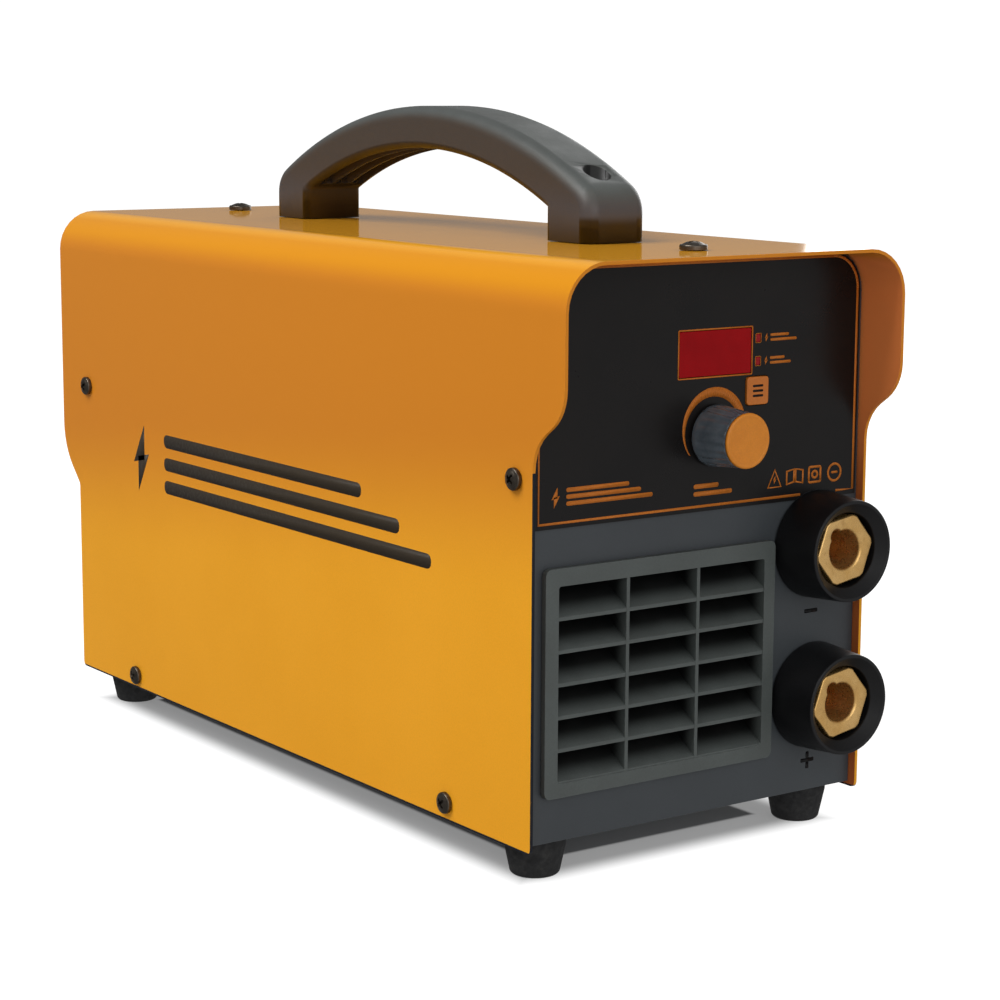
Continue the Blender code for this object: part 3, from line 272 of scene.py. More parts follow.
def hood_paint():
    """Orange under a clear top coat, with painted light and shade: redder up high, darker inside
    low down and on the front cut edge, lighter on bends and top, dark along the bottom.
    """
    surface = powder_coat("hood_paint", srgb(254, 176, 42), srgb(250, 172, 38), srgb(255, 190, 80),
                          0.35, 0.004 * MM)
    facing, height, across = surface.facing(), surface.along("Z"), surface.along("X")
    # Painted shade: redder and darker above a line that falls by 96 mm in a metre towards the rear
    rise = surface.dot(surface.place, (0, 0.096, 1))
    surface.tint(surface.step(rise, 80 * MM, 140 * MM), 223, 138, 38)
    # Painted highlight on the bends between the sides and the top, and painted light on the top
    surface.tint(surface.step(facing["Z"], 0.1, 0.6), 232, 152, 28)
    surface.tint(surface.step(facing["Z"], 0.8, 0.98), 255, 178, 48)
    # Painted shade on the inside faces, darker low down. An inside face looks towards the middle,
    # so its normal and its place have opposite signs
    inside = surface.step(surface.math("MULTIPLY", facing["X"], across), -20 * MM, -50 * MM)
    visor = surface.step(height, 110 * MM, 160 * MM)
    inner = surface.mix(visor, srgb(206, 112, 60), srgb(250, 146, 80))
    surface.colour = surface.mix(inside, surface.colour, inner)
    # Painted shade on the front cut edge at the lower left, and a dark band along the lowest 0.8 mm
    # all round
    front = surface.step(facing["Y"], -0.5, -0.7)
    front = surface.math("MULTIPLY", front, surface.math("LESS_THAN", across, 0.0))
    front = surface.math("MULTIPLY", front, surface.math("LESS_THAN", height, 140 * MM))
    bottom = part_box("hood_cover")[0].z
    bottom_band = surface.step(height, bottom + 0.8 * MM, bottom + 0.6 * MM)
    surface.tint(surface.math("MAXIMUM", front, bottom_band), 30, 34, 42)
    surface.set(Specular_IOR_Level=0.0, Coat_Weight=1.0, Coat_Roughness=0.07, Coat_IOR=1.22)
    return surface.material


def panel_paint():
    return powder_coat("panel_paint", srgb(62, 67, 71), srgb(57, 61, 65), srgb(96, 100, 102),
                       0.48, 0.02 * MM).material


def moulded(name, light, dark, bare, roughness, grain, relief):
    """Moulded plastic: spark-eroded grain, soft flow clouds and polished edges."""
    surface = Surface(name, roughness)
    cloudy = mottled(surface, light, dark, 18 * MM, 0.06)
    surface.colour = worn(surface, cloudy, bare, 0.6 * MM, 0.55)
    surface.paint(surface.colour)
    surface.polish(roughness - 0.07, roughness + 0.08, 9 * MM, 4.0)
    surface.bump(surface.cells(grain), relief)
    surface.bump(surface.noise(grain * 0.5, 2.0), relief * 0.5)
    return surface


def grille_plastic():
    """Grey-green plastic, with painted shade that darkens it towards the back of the louvres."""
    surface = moulded("grille_plastic", srgb(84, 90, 88), srgb(77, 82, 80), srgb(106, 112, 110),
                      0.5, 0.35 * MM, 0.012 * MM)
    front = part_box("front_grille")[0].y
    # Painted shade: darker with depth behind the grille's front
    deep = surface.step(surface.along("Y"), front + 0.55 * MM, front + 7.05 * MM)
    surface.tint(deep, 14, 15, 15)
    return surface.material


def handle_plastic():
    """Grey plastic with painted light and shade: browner on faces that don't look up, bluer near
    the hood, darker underneath, on the legs' inner faces and in the screw wells.
    """
    surface = moulded("handle_plastic", srgb(84, 88, 86), srgb(77, 80, 78), srgb(104, 108, 105),
                      0.45, 0.4 * MM, 0.014 * MM)
    low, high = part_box("handle")
    up, height = surface.facing()["Z"], surface.along("Z")
    from_middle = surface.math("SUBTRACT", surface.along("Y"), (low.y + high.y) / 2)
    from_middle = surface.math("ABSOLUTE", from_middle)
    # Painted light: faces that don't look up are browner, as if lit by orange light thrown back
    # from the hood, and bluer near the hood to offset that orange light
    near_hood = surface.step(height, low.z + 24 * MM, low.z + 2 * MM)
    side = surface.mix(near_hood, srgb(70, 61, 53), srgb(72, 73, 80))
    surface.colour = surface.mix(surface.step(up, 0.1, 0.75), side, surface.colour)
    # Painted shade on the faces that look down
    surface.tint(surface.step(up, 0.0, -0.3), 31, 25, 21)
    # Painted shade on the legs' inner faces, under the ends of the bow
    leg = surface.math("LESS_THAN", height, low.z + 13 * MM)
    inward = surface.step(from_middle, GRIP_HALF + 0.6 * MM, GRIP_HALF + 0.1 * MM)
    surface.tint(surface.math("MULTIPLY", leg, inward), 44, 34, 27)
    # Painted shade in the screw wells
    screw_reach = (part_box("handle_screw_rear")[0].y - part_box("handle_screw_front")[0].y) / 2
    along = surface.math("POWER", surface.math("SUBTRACT", from_middle, screw_reach), 2.0)
    across = surface.math("POWER", surface.along("X"), 2.0)
    well_radius = HANDLE_WELL_RADIUS + 0.2 * MM
    well = surface.math("LESS_THAN", surface.math("ADD", across, along), well_radius ** 2)
    surface.tint(well, 16, 16, 15)
    return surface.material


def black_plastic():
    surface = moulded("black_plastic", srgb(20, 20, 22), srgb(15, 15, 17), srgb(44, 44, 47),
                      0.42, 0.3 * MM, 0.01 * MM)
    surface.set(Specular_IOR_Level=0.3)
    return surface.material


def rubber():
    surface = Surface("rubber", 0.75)
    colour = mottled(surface, srgb(32, 32, 33), srgb(22, 22, 23), 6 * MM, 0.1)
    dust = surface.spread(surface.noise(3 * MM, 6.0), 0.0, 0.35, 0.5, 0.8)
    surface.paint(surface.mix(dust, colour, srgb(66, 65, 62)))
    surface.polish(0.65, 0.9, 2 * MM, 3.0)
    surface.bump(surface.noise(0.5 * MM, 3.0), 0.03 * MM)
    return surface.material


def label_film():
    """Black printed film with a fine satin tooth and a few light rubs."""
    surface = Surface("label_print", 0.3)
    surface.paint(mottled(surface, srgb(24, 21, 20), srgb(19, 17, 17), 30 * MM, 0.05))
    surface.polish(0.27, 0.36, 20 * MM, 4.0, start=0.35, end=0.75)
    surface.set(Specular_IOR_Level=0.2)
    surface.bump(surface.noise(0.3 * MM, 2.0), 0.002 * MM)
    return surface.material


def ink(name, tone):
    """Screen-printed ink with slightly uneven cover."""
    surface, colour = Surface(name, 0.4), srgb(*tone)
    surface.set(Specular_IOR_Level=0.2)
    pale = tuple(min(1.0, value * 1.12) for value in colour[:3]) + (1,)
    surface.paint(mottled(surface, pale, colour, 3 * MM, 0.08))
    surface.polish(0.34, 0.5, 1.5 * MM)
    surface.bump(surface.noise(0.2 * MM, 2.0), 0.006 * MM)
    return surface.material


def red_acrylic():
    """Clear red filter over an unlit display: deep colour and a glossy face."""
    surface = Surface("display_red", 0.12)
    surface.paint(mottled(surface, srgb(166, 12, 19), srgb(153, 10, 17), 12 * MM, 0.02))
    surface.polish(0.08, 0.2, 5 * MM, 5.0)
    surface.set(Specular_IOR_Level=0.08)
    surface.bump(surface.noise(4 * MM, 1.0), 0.004 * MM)
    return surface.material


def lamp_lens():
    surface = Surface("lamp_lens", 0.2)
    surface.paint(mottled(surface, srgb(168, 22, 27), srgb(140, 13, 18), 0.8 * MM, 0.05))
    surface.polish(0.14, 0.3, 0.6 * MM)
    surface.set(Specular_IOR_Level=0.2)
    surface.bump(surface.cells(0.5 * MM), 0.01 * MM)
    return surface.material


def key_plastic(name, light_tone, dark_tone):
    """Smooth moulded plastic with its edges rubbed paler."""
    surface, light, dark = Surface(name, 0.42), srgb(*light_tone), srgb(*dark_tone)
    colour = mottled(surface, light, dark, 5 * MM, 0.05)
    pale = tuple(min(1.0, value * 1.25) for value in light[:3]) + (1,)
    surface.paint(worn(surface, colour, pale, 0.4 * MM, 0.6))
    surface.polish(0.34, 0.52, 2 * MM, 4.0)
    surface.bump(surface.noise(0.25 * MM, 2.0), 0.008 * MM)
    return surface.material


def smoked_plastic():
    """Smoke-tinted clear plastic of the knob body."""
    surface = Surface("knob_smoke", 0.16)
    surface.paint(mottled(surface, srgb(130, 142, 152), srgb(106, 118, 128), 6 * MM, 0.03))
    surface.polish(0.1, 0.26, 3 * MM, 4.0)
    surface.set(Transmission_Weight=0.45, IOR=1.49)
    surface.bump(surface.noise(0.8 * MM, 3.0), 0.01 * MM)
    return surface.material


def metal(name, light, dark, roughness, size, relief, stretch):
    """Bare or plated metal: tone drift, uneven polish and fine relief."""
    surface = Surface(name, roughness, 1.0)
    surface.paint(mottled(surface, srgb(*light), srgb(*dark), size, 0.05))
    surface.polish(roughness - 0.08, roughness + 0.1, size * 0.4, 5.0, stretch)
    surface.bump(surface.noise(0.3 * MM, 3.0, stretch), relief)
    return surface.material


def brass():
    """Brass with a fine grain and tarnish in patches."""
    surface = Surface("brass", 0.28, 0.8)
    colour = mottled(surface, srgb(232, 190, 124), srgb(216, 170, 100), 7 * MM, 0.04)
    stain = surface.spread(surface.noise(2.5 * MM, 6.0), 0.0, 0.5, 0.55, 0.8)
    surface.paint(surface.mix(stain, colour, srgb(150, 108, 54)))
    surface.polish(0.2, 0.4, 1.2 * MM, 5.0)
    surface.bump(surface.noise(0.35 * MM, 3.0), 0.012 * MM)
    return surface.material


def bounce_paper():
    surface = Surface("bounce_paper", 0.9)
    surface.set(Base_Color=(0.3, 0.3, 0.3, 1), Emission_Color=WHITE, Emission_Strength=BOUNCE_GLOW)
    return surface.material


def solder_mask():
    surface = Surface("board_green", 0.35)
    surface.paint(mottled(surface, srgb(30, 92, 56), srgb(22, 74, 44), 8 * MM, 0.05))
    bricks = {"Vector": surface.place, "Scale": 120.0, "Mortar Size": 0.012}
    tracks = surface.node("ShaderNodeTexBrick", bricks)
    surface.bump(tracks.outputs["Fac"], 0.03 * MM)
    surface.polish(0.28, 0.45, 4 * MM)
    return surface.material


def floor_paper():
    """Pale paper that glows evenly, with a painted shadow under the object."""
    surface = Surface("floor_paper", 0.6)
    surface.paint(mottled(surface, srgb(150, 150, 150), srgb(147, 147, 148), 0.4))
    beyond = []
    for axis, (centre, half) in SHADE.items():
        away = surface.math("ABSOLUTE", surface.math("SUBTRACT", surface.along(axis), centre))
        beyond.append(surface.math("SUBTRACT", away, half))
    outside = surface.math("MAXIMUM", *beyond)
    # Painted shadow under the object: a dark core, a grey band round it and a soft fade to the full
    # glow at the edge
    rim = surface.step(outside, -15 * MM, 0.5 * MM, 0.0, FLOOR_GLOW - SHADE_GLOW)
    core = surface.step(outside, -25.5 * MM, -23 * MM, 0.0, SHADE_GLOW)
    surface.set(Emission_Color=WHITE, Specular_IOR_Level=0.0)
    surface.link(surface.math("ADD", rim, core), "Emission Strength")
    surface.bump(surface.noise(3 * MM, 3.0), 0.02 * MM)
    return surface.material


# Metals: light and dark tone, roughness, size of the tone's drift, relief and stretch
METALS = {
    "black_steel": ((104, 96, 86), (78, 72, 66), 0.36, 3 * MM, 0.01 * MM, None),
    "zinc_steel": ((190, 192, 194), (168, 170, 174), 0.34, 4 * MM, 0.006 * MM, None),
    "galvanised": ((176, 179, 182), (150, 153, 158), 0.42, 9 * MM, 0.01 * MM, None),
    "copper": ((214, 136, 92), (190, 112, 70), 0.3, 6 * MM, 0.008 * MM, None),
    "aluminium": ((206, 208, 210), (188, 190, 193), 0.34, 12 * MM, 0.008 * MM, (6, 1, 6)),
}
# Small plastic parts: light and dark tone
PLASTICS = {
    "key_orange": ((208, 118, 36), (198, 110, 30)),
    "cap_orange": ((226, 138, 30), (218, 130, 24)),
    "component": ((46, 48, 54), (34, 36, 42)),
    "sleeve_blue": ((44, 70, 122), (34, 58, 108)),
}
INKS = {"print_orange": (196, 112, 38), "print_dark": (58, 50, 40), "print_black": (16, 16, 17)}

LOOKS = {
    "hood_paint": hood_paint(),
    "panel_paint": panel_paint(),
    "label_print": label_film(),
    "grille_plastic": grille_plastic(),
    "handle_plastic": handle_plastic(),
    "black_plastic": black_plastic(),
    "rubber": rubber(),
    "display_red": red_acrylic(),
    "lamp_lens": lamp_lens(),
    "knob_smoke": smoked_plastic(),
    "brass": brass(),
    "board_green": solder_mask(),
    **{name: metal(name, *values) for name, values in METALS.items()},
    **{name: key_plastic(name, *tones) for name, tones in PLASTICS.items()},
    **{name: ink(name, tone) for name, tone in INKS.items()},
}


# Mesh helpers

def spot(axis, u, v, w):
    """The point (u, v) in the plane across an axis, at w along it."""
    return {"X": (w, u, v), "Y": (u, w, v), "Z": (u, v, w)}[axis]


def arc(u, v, radius, start, end, steps):
    """Points of an arc from start to end degrees, both included."""
    angles = [math.radians(start + (end - start) * i / steps) for i in range(steps + 1)]
    return [(u + radius * math.cos(a), v + radius * math.sin(a)) for a in angles]


def skin(rings, closed=False):
    """A bmesh through rings of points; a ring of one point is a tip, and an open end is capped."""
    bm = bmesh.new()
    rows = [[bm.verts.new(place) for place in ring] for ring in rings]
    pairs = list(zip(rows, rows[1:]))
    if closed:
        pairs.append((rows[-1], rows[0]))
    for first, second in pairs:
        count = max(len(first), len(second))
        for i in range(count):
            j = (i + 1) % count
            corners = [first[i % len(first)], first[j % len(first)]]
            corners += [second[j % len(second)], second[i % len(second)]]
            bm.faces.new(dict.fromkeys(corners))
    if not closed:
        for row in (rows[0], rows[-1]):
            if len(row) > 1:
                bm.faces.new(row)
    bmesh.ops.recalc_face_normals(bm, faces=bm.faces)
    return bm


def lathe(profile, axis, centre, segments=96, closed=False):
    """Revolve (radius, along) points about an axis through centre."""
    rings = []
    for radius, along in profile:
        count = segments if radius else 1
        ring = arc(*centre, radius, 0, 360, count)[:count]
        rings.append([spot(axis, u, v, along) for u, v in ring])
    return skin(rings, closed)


def prism(outline, axis, low, high):
    return skin([[spot(axis, u, v, w) for u, v in outline] for w in (low, high)])


def rounded_box(u, v, radius, steps=4):
    """A rectangle from its two (low, high) spans, with one corner radius."""
    corners = [(u[1], v[1], 1, 1, 0), (u[0], v[1], -1, 1, 90)]
    corners += [(u[0], v[0], -1, -1, 180), (u[1], v[0], 1, -1, 270)]
    points = []
    for corner_u, corner_v, side_u, side_v, start in corners:
        centre = (corner_u - side_u * radius, corner_v - side_v * radius)
        points += arc(*centre, radius, start, start + 90, steps)
    return points


def span(middle, width):
    return (middle - width / 2, middle + width / 2)


def thing(bm, name):
    """An object of a bmesh, which is used up."""
    mesh = bpy.data.meshes.new(name)
    bm.to_mesh(mesh)
    bm.free()
    obj = bpy.data.objects.new(name, mesh)
    bpy.context.collection.objects.link(obj)
    return obj


def merged(*bmeshes):
    """Several bmeshes as one, still separate bodies."""
    whole = bmesh.new()
    for bm in bmeshes:
        mesh = bpy.data.meshes.new("part")
        bm.to_mesh(mesh)
        bm.free()
        whole.from_mesh(mesh)
        bpy.data.meshes.remove(mesh)
    return whole


def carve(obj, *cutters):
    """Cut bmeshes out of an object."""
    cutter = thing(merged(*cutters), "cutter")
    modifier = obj.modifiers.new("carve", "BOOLEAN")
    modifier.operation = "DIFFERENCE"
    modifier.object = cutter
    graph = bpy.context.evaluated_depsgraph_get()
    obj.data = bpy.data.meshes.new_from_object(obj.evaluated_get(graph))
    obj.modifiers.clear()
    bpy.data.objects.remove(cutter)
    return obj


def soften(obj, width, segments=2, angle=30):
    """Bevel the sharp edges and even out the shading."""
    if width:
        bevel = obj.modifiers.new("edges", "BEVEL")
        bevel.width = width
        bevel.segments = segments
        bevel.limit_method = "ANGLE"
        bevel.angle_limit = math.radians(angle)
    obj.modifiers.new("shading", "WEIGHTED_NORMAL")
    return obj


def piece(obj, look, body, slot, *nodes):
    """Give a new piece its material and body, and hide the nodes that it stands for. The slot is
    not used.
    """
    obj.data.materials.clear()
    obj.data.materials.append(LOOKS[look])
    obj.data.shade_smooth()
    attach(obj, body)
    if nodes:
        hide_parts(*nodes)
    return obj


def dress(name, look, width, segments):
    """Give a frame solid its material and softened edges."""
    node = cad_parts[name]
    node.data.materials.clear()
    node.data.materials.append(LOOKS[look])
    node.data.attributes.remove(node.data.attributes["custom_normal"])
    node.data.shade_smooth()
    weld = node.modifiers.new("weld", "WELD")
    weld.merge_threshold = 0.001 * MM
    flat = node.modifiers.new("flat", "DECIMATE")
    flat.decimate_type = "DISSOLVE"
    flat.angle_limit = math.radians(0.3)
    soften(node, width, segments)


def middle(name):
    low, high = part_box(name)
    return (low + high) / 2


# Case

# The frame's own solids that only get a look and softened edges: look, edge width in
# millimetres, bevel steps and nodes
DRESSED = (
    ("hood_paint", 0.3, 3, "hood_cover"),
    ("panel_paint", 0.25, 2, "front_panel rear_panel"),
    ("galvanised", 0.25, 2, "base_plate"),
    ("grille_plastic", 0.25, 2, "front_grille"),
    ("label_print", 0.1, 2, "control_label"),
    ("display_red", 0.15, 2, "display_window"),
    ("lamp_lens", 0.25, 2, "mode_light_upper mode_light_lower"),
    ("key_orange", 0.3, 3, "function_key"),
    ("component", 0.2, 2, "key_switch display_module"),
    ("component", 0.6, 2, "transformer"),
    ("board_green", 0.2, 2, "control_board main_board"),
    ("zinc_steel", 0.15, 2, "foot_screw_front_left foot_screw_front_right"),
    ("zinc_steel", 0.15, 2, "foot_screw_rear_left foot_screw_rear_right"),
    ("zinc_steel", 0.2, 2, "knob_shaft potentiometer"),
    ("zinc_steel", 0.3, 2, "potentiometer_nut"),
    ("brass", 0.4, 2, "socket_nut_negative socket_nut_positive"),
    ("copper", 0.3, 2, "bus_bar_negative bus_bar_positive"),
    ("copper", 1.5, 4, "output_choke"),
    ("aluminium", 0.2, 2, "heat_sink_left heat_sink_right"),
    ("sleeve_blue", 0.8, 3, "capacitor_left capacitor_right"),
    ("black_plastic", 0.25, 2, "fan_impeller"),
    ("black_plastic", 0.3, 2, "cable_gland"),
    ("black_plastic", 0.4, 2, "fan_frame mains_switch_body gland_nut"),
    ("black_plastic", 0.4, 3, "mains_rocker"),
)


def dress_solids():
    for look, width, steps, names in DRESSED:
        for name in names.split():
            dress(name, look, width * MM, steps)


def make_feet():
    """Tapered rubber feet with a rounded rim and a counterbored hole."""
    taper, rounding = mm(2, 1.8)
    hole, counterbore, counterbore_top = mm(2.3, 4.2, 7.7)
    for row in ("front", "rear"):
        for side in ("left", "right"):
            name = f"foot_{row}_{side}"
            low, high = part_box(name)
            top, wide = high.z, (high.x - low.x) / 2
            profile = [(counterbore, counterbore_top), (counterbore, 0.4 * MM)]
            profile.append((counterbore + 0.4 * MM, 0))
            profile += arc(wide - taper - rounding, rounding, rounding, -90, -6, 8)
            profile += [(wide, top - 3 * MM), (wide, top - 0.4 * MM), (wide - 0.4 * MM, top)]
            profile += [(hole, top), (hole, counterbore_top)]
            foot = thing(lathe(profile, "Z", middle(name).xy, 64, closed=True), f"{name}_rubber")
            soften(foot, 0)
            piece(foot, "rubber", "case", "rubber", name)


# Screws

def pan_head(radius, height, shank):
    """A cross-slotted pan head screw standing on Z = 0, head up."""
    crown_radius = radius * 1.6
    crown = arc(0, height - crown_radius, crown_radius, 90, 58, 8)
    lift = height * 0.42
    profile = [(0, height)]
    profile += [(r, z) for r, z in crown[1:] if r < radius * 0.86 and z > lift]
    profile += arc(radius * 0.84, lift, radius * 0.16, 60, 0, 4)
    profile += [(radius, 0.15 * MM), (radius - 0.15 * MM, 0)]
    profile += [(SHANK_RADIUS, 0), (SHANK_RADIUS, -shank), (0, -shank)]
    screw = thing(lathe(profile, "Z", (0, 0), 40), "screw")
    for axis in range(2):
        carve(screw, slot_arm(axis, radius * 0.58, height))
    return screw


def slot_arm(axis, reach, height):
    """One arm of the cross slot, along X or Y, which gets shorter towards its floor."""
    half, depth = mm(0.5, 1.4)
    rings = []
    for long, z in ((reach, height + 0.5 * MM), (reach * 0.72, height - depth)):
        u, v = (half, long) if axis else (long, half)
        rings.append([(-u, -v, z), (u, -v, z), (u, v, z), (-u, v, z)])
    return skin(rings)


def screw_place(kind, name):
    """Where a screw's head sits, with its axis turned outwards from the face."""
    low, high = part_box(name)
    centre, height = middle(name), SCREWS[kind][1]
    if kind != "side_screw":
        return Matrix.Translation((centre.x, centre.y, high.z - height))
    sign = -1 if "left" in name else 1
    face = low.x + height if sign < 0 else high.x - height
    turn = Matrix.Rotation(math.radians(90 * sign), 4, "Y")
    return Matrix.Translation((face, centre.y, centre.z)) @ turn


def make_screws():
    """Copies of three pan head screws, turned to their places."""
    for kind, (radius, height, shank, look) in SCREWS.items():
        pattern = pan_head(radius, height, shank)
        for name in sorted(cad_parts):
            if name.startswith(kind):
                set_screw(pattern, name, screw_place(kind, name), look)
        bpy.data.objects.remove(pattern)


def set_screw(pattern, node, matrix, look):
    """A copy of a screw at a node's place, each with its slot at its own angle."""
    copy = bpy.data.objects.new(f"{node}_head", pattern.data.copy())
    bpy.context.collection.objects.link(copy)
    angle = math.radians(sum(map(ord, node)) * 37 % 90)
    copy.data.transform(matrix @ Matrix.Rotation(angle, 4, "Z"))
    soften(copy, 0.12 * MM, 2, 40)
    piece(copy, look, "case", look, node)


# Knob

def make_knob():
    """Fluted, smoke-clear knob body with its orange cap on the shaft."""
    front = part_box("knob_cap")[1].y - 1.7 * MM
    make_knob_body(front)
    make_knob_cap(front)


def make_knob_body(front):
    """The knob's body, from rows of radius, place along the axis and depth of flute."""
    centre = middle("knob_shaft")
    low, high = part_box("knob_body")
    back, wide = high.y, (high.x - low.x) / 2
    narrow, start = wide - 1 * MM, back - 2.4 * MM
    hub, skirt, seat = mm(3.3, 8.6, 4.3)
    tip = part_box("knob_shaft")[0].y - 0.3 * MM
    rows = [
        (0, tip, 0), (hub, tip, 0), (hub, back - 5 * MM, 0), (skirt, back - 5 * MM, 0),
        (skirt, back - 0.3 * MM, 0), (skirt + 0.3 * MM, back, 0), (wide - 0.3 * MM, back, 0),
        (wide, back - 0.3 * MM, 0), (wide, back - 1.6 * MM, 0), (wide - 0.1 * MM, start, 0.5),
    ]
    length = start - front - 1 * MM
    for i in range(1, 9):
        share = i / 8
        rows.append((wide - 0.1 * MM - share * (wide - narrow), start - share * length, 1))
    rows += [(narrow - 0.1 * MM, front + 0.5 * MM, 0.6), (narrow - 0.45 * MM, front, 0.1)]
    rows += [(seat, front, 0), (seat, front + 2 * MM, 0), (0, front + 2 * MM, 0)]
    rings = [fluted_ring(centre, *row) for row in rows]
    body = soften(thing(skin(rings), "knob_fluted_body"), 0)
    piece(body, "knob_smoke", "knob", "knob_smoke", "knob_body")


def fluted_ring(centre, radius, along, fluted):
    """A ring about the knob's axis whose radius waves inwards once for each flute."""
    flutes, steps, depth = 20, 8, 0.5 * MM
    count = flutes * steps if radius else 1
    ring = []
    for i in range(count):
        angle = math.tau * i / count
        reach = radius - depth * fluted * (1 - math.cos(angle * flutes)) / 2
        u, v = centre.x + reach * math.cos(angle), centre.z + reach * math.sin(angle)
        ring.append(spot("Y", u, v, along))
    return ring


def make_knob_cap(front):
    """The orange disc, with a rounded rim round a face that is sunk a little."""
    low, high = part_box("knob_cap")
    radius, face, peg, rounding = (high.x - low.x) / 2, low.y, 4 * MM, 0.7 * MM
    profile = [(0, high.y), (peg, high.y), (peg, front - 0.3 * MM), (radius, front - 0.3 * MM)]
    profile += arc(radius - rounding, face + rounding, rounding, 0, -90, 8)
    profile += [(radius - 1.3 * MM, face + 0.05 * MM), (radius - 1.6 * MM, face + 0.22 * MM)]
    profile += [(0, face + 0.22 * MM)]
    cap = soften(thing(lathe(profile, "Y", middle("knob_shaft").xz, 128), "knob_cap_disc"), 0)
    piece(cap, "cap_orange", "knob", "key_orange", "knob_cap")


# Printing: flat solids a fraction of a millimetre proud of the face that they are printed on

def printed(name, outlines, face_y, look="print_orange", slot="label_print", body="case"):
    """Flat marks on a face that looks towards -Y."""
    marks = merged(*[prism(outline, "Y", face_y - INK, face_y + 0.01 * MM) for outline in outlines])
    return piece(thing(marks, name), look, body, slot)


def strip(points, width, closed=True):
    """Quads that follow a line of points, width wide, as separate outlines."""
    count = len(points)
    quads, offsets = [], []
    for i, (u, v) in enumerate(points):
        before = points[i - 1] if closed or i else points[i]
        after = points[(i + 1) % count] if closed or i + 1 < count else points[i]
        along = Vector((after[0] - before[0], after[1] - before[1])).normalized()
        offsets.append((-along.y * width / 2, along.x * width / 2))
    for i in range(count if closed else count - 1):
        j = (i + 1) % count
        (u, v), (du, dv) = points[i], offsets[i]
        (s, t), (ds, dt) = points[j], offsets[j]
        quads.append([(u + du, v + dv), (s + ds, t + dt), (s - ds, t - dt), (u - du, v - dv)])
    return quads


def label_border():
    """Line inside the label's edge, broken only where the upper socket's collar covers it."""
    low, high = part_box("control_label")
    inset, radius = mm(1.3, 11.5)
    left, right = low.x + inset, high.x - inset
    bottom, top = low.z + inset + 0.5 * MM, high.z - inset
    collar = middle("socket_collar_negative")
    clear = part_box("socket_collar_negative")[1].x - collar.x + 0.9 * MM
    reach = math.sqrt(clear ** 2 - (bottom - collar.z) ** 2)
    points = [(collar.x + reach, bottom), (right, bottom)]
    points += arc(right - radius, top - radius, radius, 0, 90, 16)
    points += arc(left + radius, top - radius, radius, 90, 180, 16)
    points += [(left, bottom), (collar.x - reach, bottom)]
    return strip(points, 0.95 * MM, closed=False)


def knob_ring():
    """Crescent scale round the knob, thin at the lower left and widening clockwise."""
    centre = middle("knob_body")
    angles = [math.radians(-18 + 236 * i / 60) for i in range(61)]
    circles = [(centre.x, centre.z + 2.5 * MM, 13.9 * MM),
               (centre.x - 0.7 * MM, centre.z + 1.1 * MM, 12.1 * MM)]
    outer, inner = [[(u + radius * math.cos(a), v + radius * math.sin(a)) for a in angles]
                    for u, v, radius in circles]
    return [[outer[i], outer[i + 1], inner[i + 1], inner[i]] for i in range(60)]


def frame_line(name, margin, width):
    """A thin frame round a rectangular piece set in the label."""
    low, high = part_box(name)
    u = (low.x - margin, high.x + margin)
    v = (low.z - margin, high.z + margin)
    return strip(rounded_box(u, v, 0.3 * MM, 2), width)


def bolt(u, v, height):
    """A lightning flash, drawn as two outlines."""
    half, wide, narrow = height / 2, 0.24 * height, 0.1 * height
    upper = [(u + narrow, v + half), (u - wide, v - 0.08 * height), (u + narrow, v - 0.02 * height)]
    lower = [(u - narrow, v - half), (u + wide, v + 0.08 * height), (u - narrow, v + 0.02 * height)]
    return [upper, lower]


def bars(u, v, height, lengths, gap):
    """Level bars one above another, each with its own length."""
    thick = (height - gap * (len(lengths) - 1)) / len(lengths)
    outlines = []
    for i, length in enumerate(lengths):
        low = v - height / 2 + i * (thick + gap)
        outlines.append(rounded_box((u, u + length), (low, low + thick), thick * 0.45, 3))
    return outlines


def symbols(low_x, v, size, step):
    """Four plain pictograms in a row: a triangle, an open book, a box and a ring."""
    width = 0.85 * MM
    triangle, book, box, ring = [low_x + size / 2 + i * step for i in range(4)]
    corners = [(-0.5, -0.5), (0.5, -0.5), (0, 0.5)]
    shapes = strip([(triangle + x * size, v + z * size) for x, z in corners], width)
    shapes += bolt(triangle, v - 0.08 * size, 0.5 * size)
    page = [(1 / 15, -0.3), (0.62, -0.42), (0.62, 0.34), (1 / 15, 0.44)]
    for side in (-1, 1):
        shapes += strip([(book + side * x * size, v + z * size) for x, z in page], width)
    shapes += strip(rounded_box(span(box, size * 0.9), span(v, size * 0.9), 0.5 * MM, 2), width)
    shapes += strip(arc(box, v, size * 0.2, 0, 360, 16)[:-1], width)
    shapes += strip(arc(ring, v, size / 2, 0, 360, 32)[:-1], width)
    shapes.append(rounded_box(span(ring, size * 0.5), span(v, width), width * 0.4, 2))
    return shapes


def make_label_print():
    """Everything printed in orange on the label, and the lines on the key."""
    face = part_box("control_label")[0].y
    printed("print_border", label_border(), face)
    printed("print_knob_ring", knob_ring(), face)
    frames = frame_line("display_window", 0.45 * MM, 0.5 * MM)
    for name in ("mode_light_upper", "mode_light_lower"):
        frames += frame_line(name, 0.2 * MM, 0.22 * MM)
    printed("print_frames", frames, face)
    printed("print_marks", label_marks(), face)
    key, key_face = middle("function_key"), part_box("function_key")[0].y
    lines = []
    for shift in (-1.7 * MM, 0, 1.7 * MM):
        lines.append(rounded_box(span(key.x, 4.6 * MM), span(key.z + shift, 0.8 * MM), 0.3 * MM, 2))
    printed("print_key_lines", lines, key_face, "print_black", "key_orange", "key")


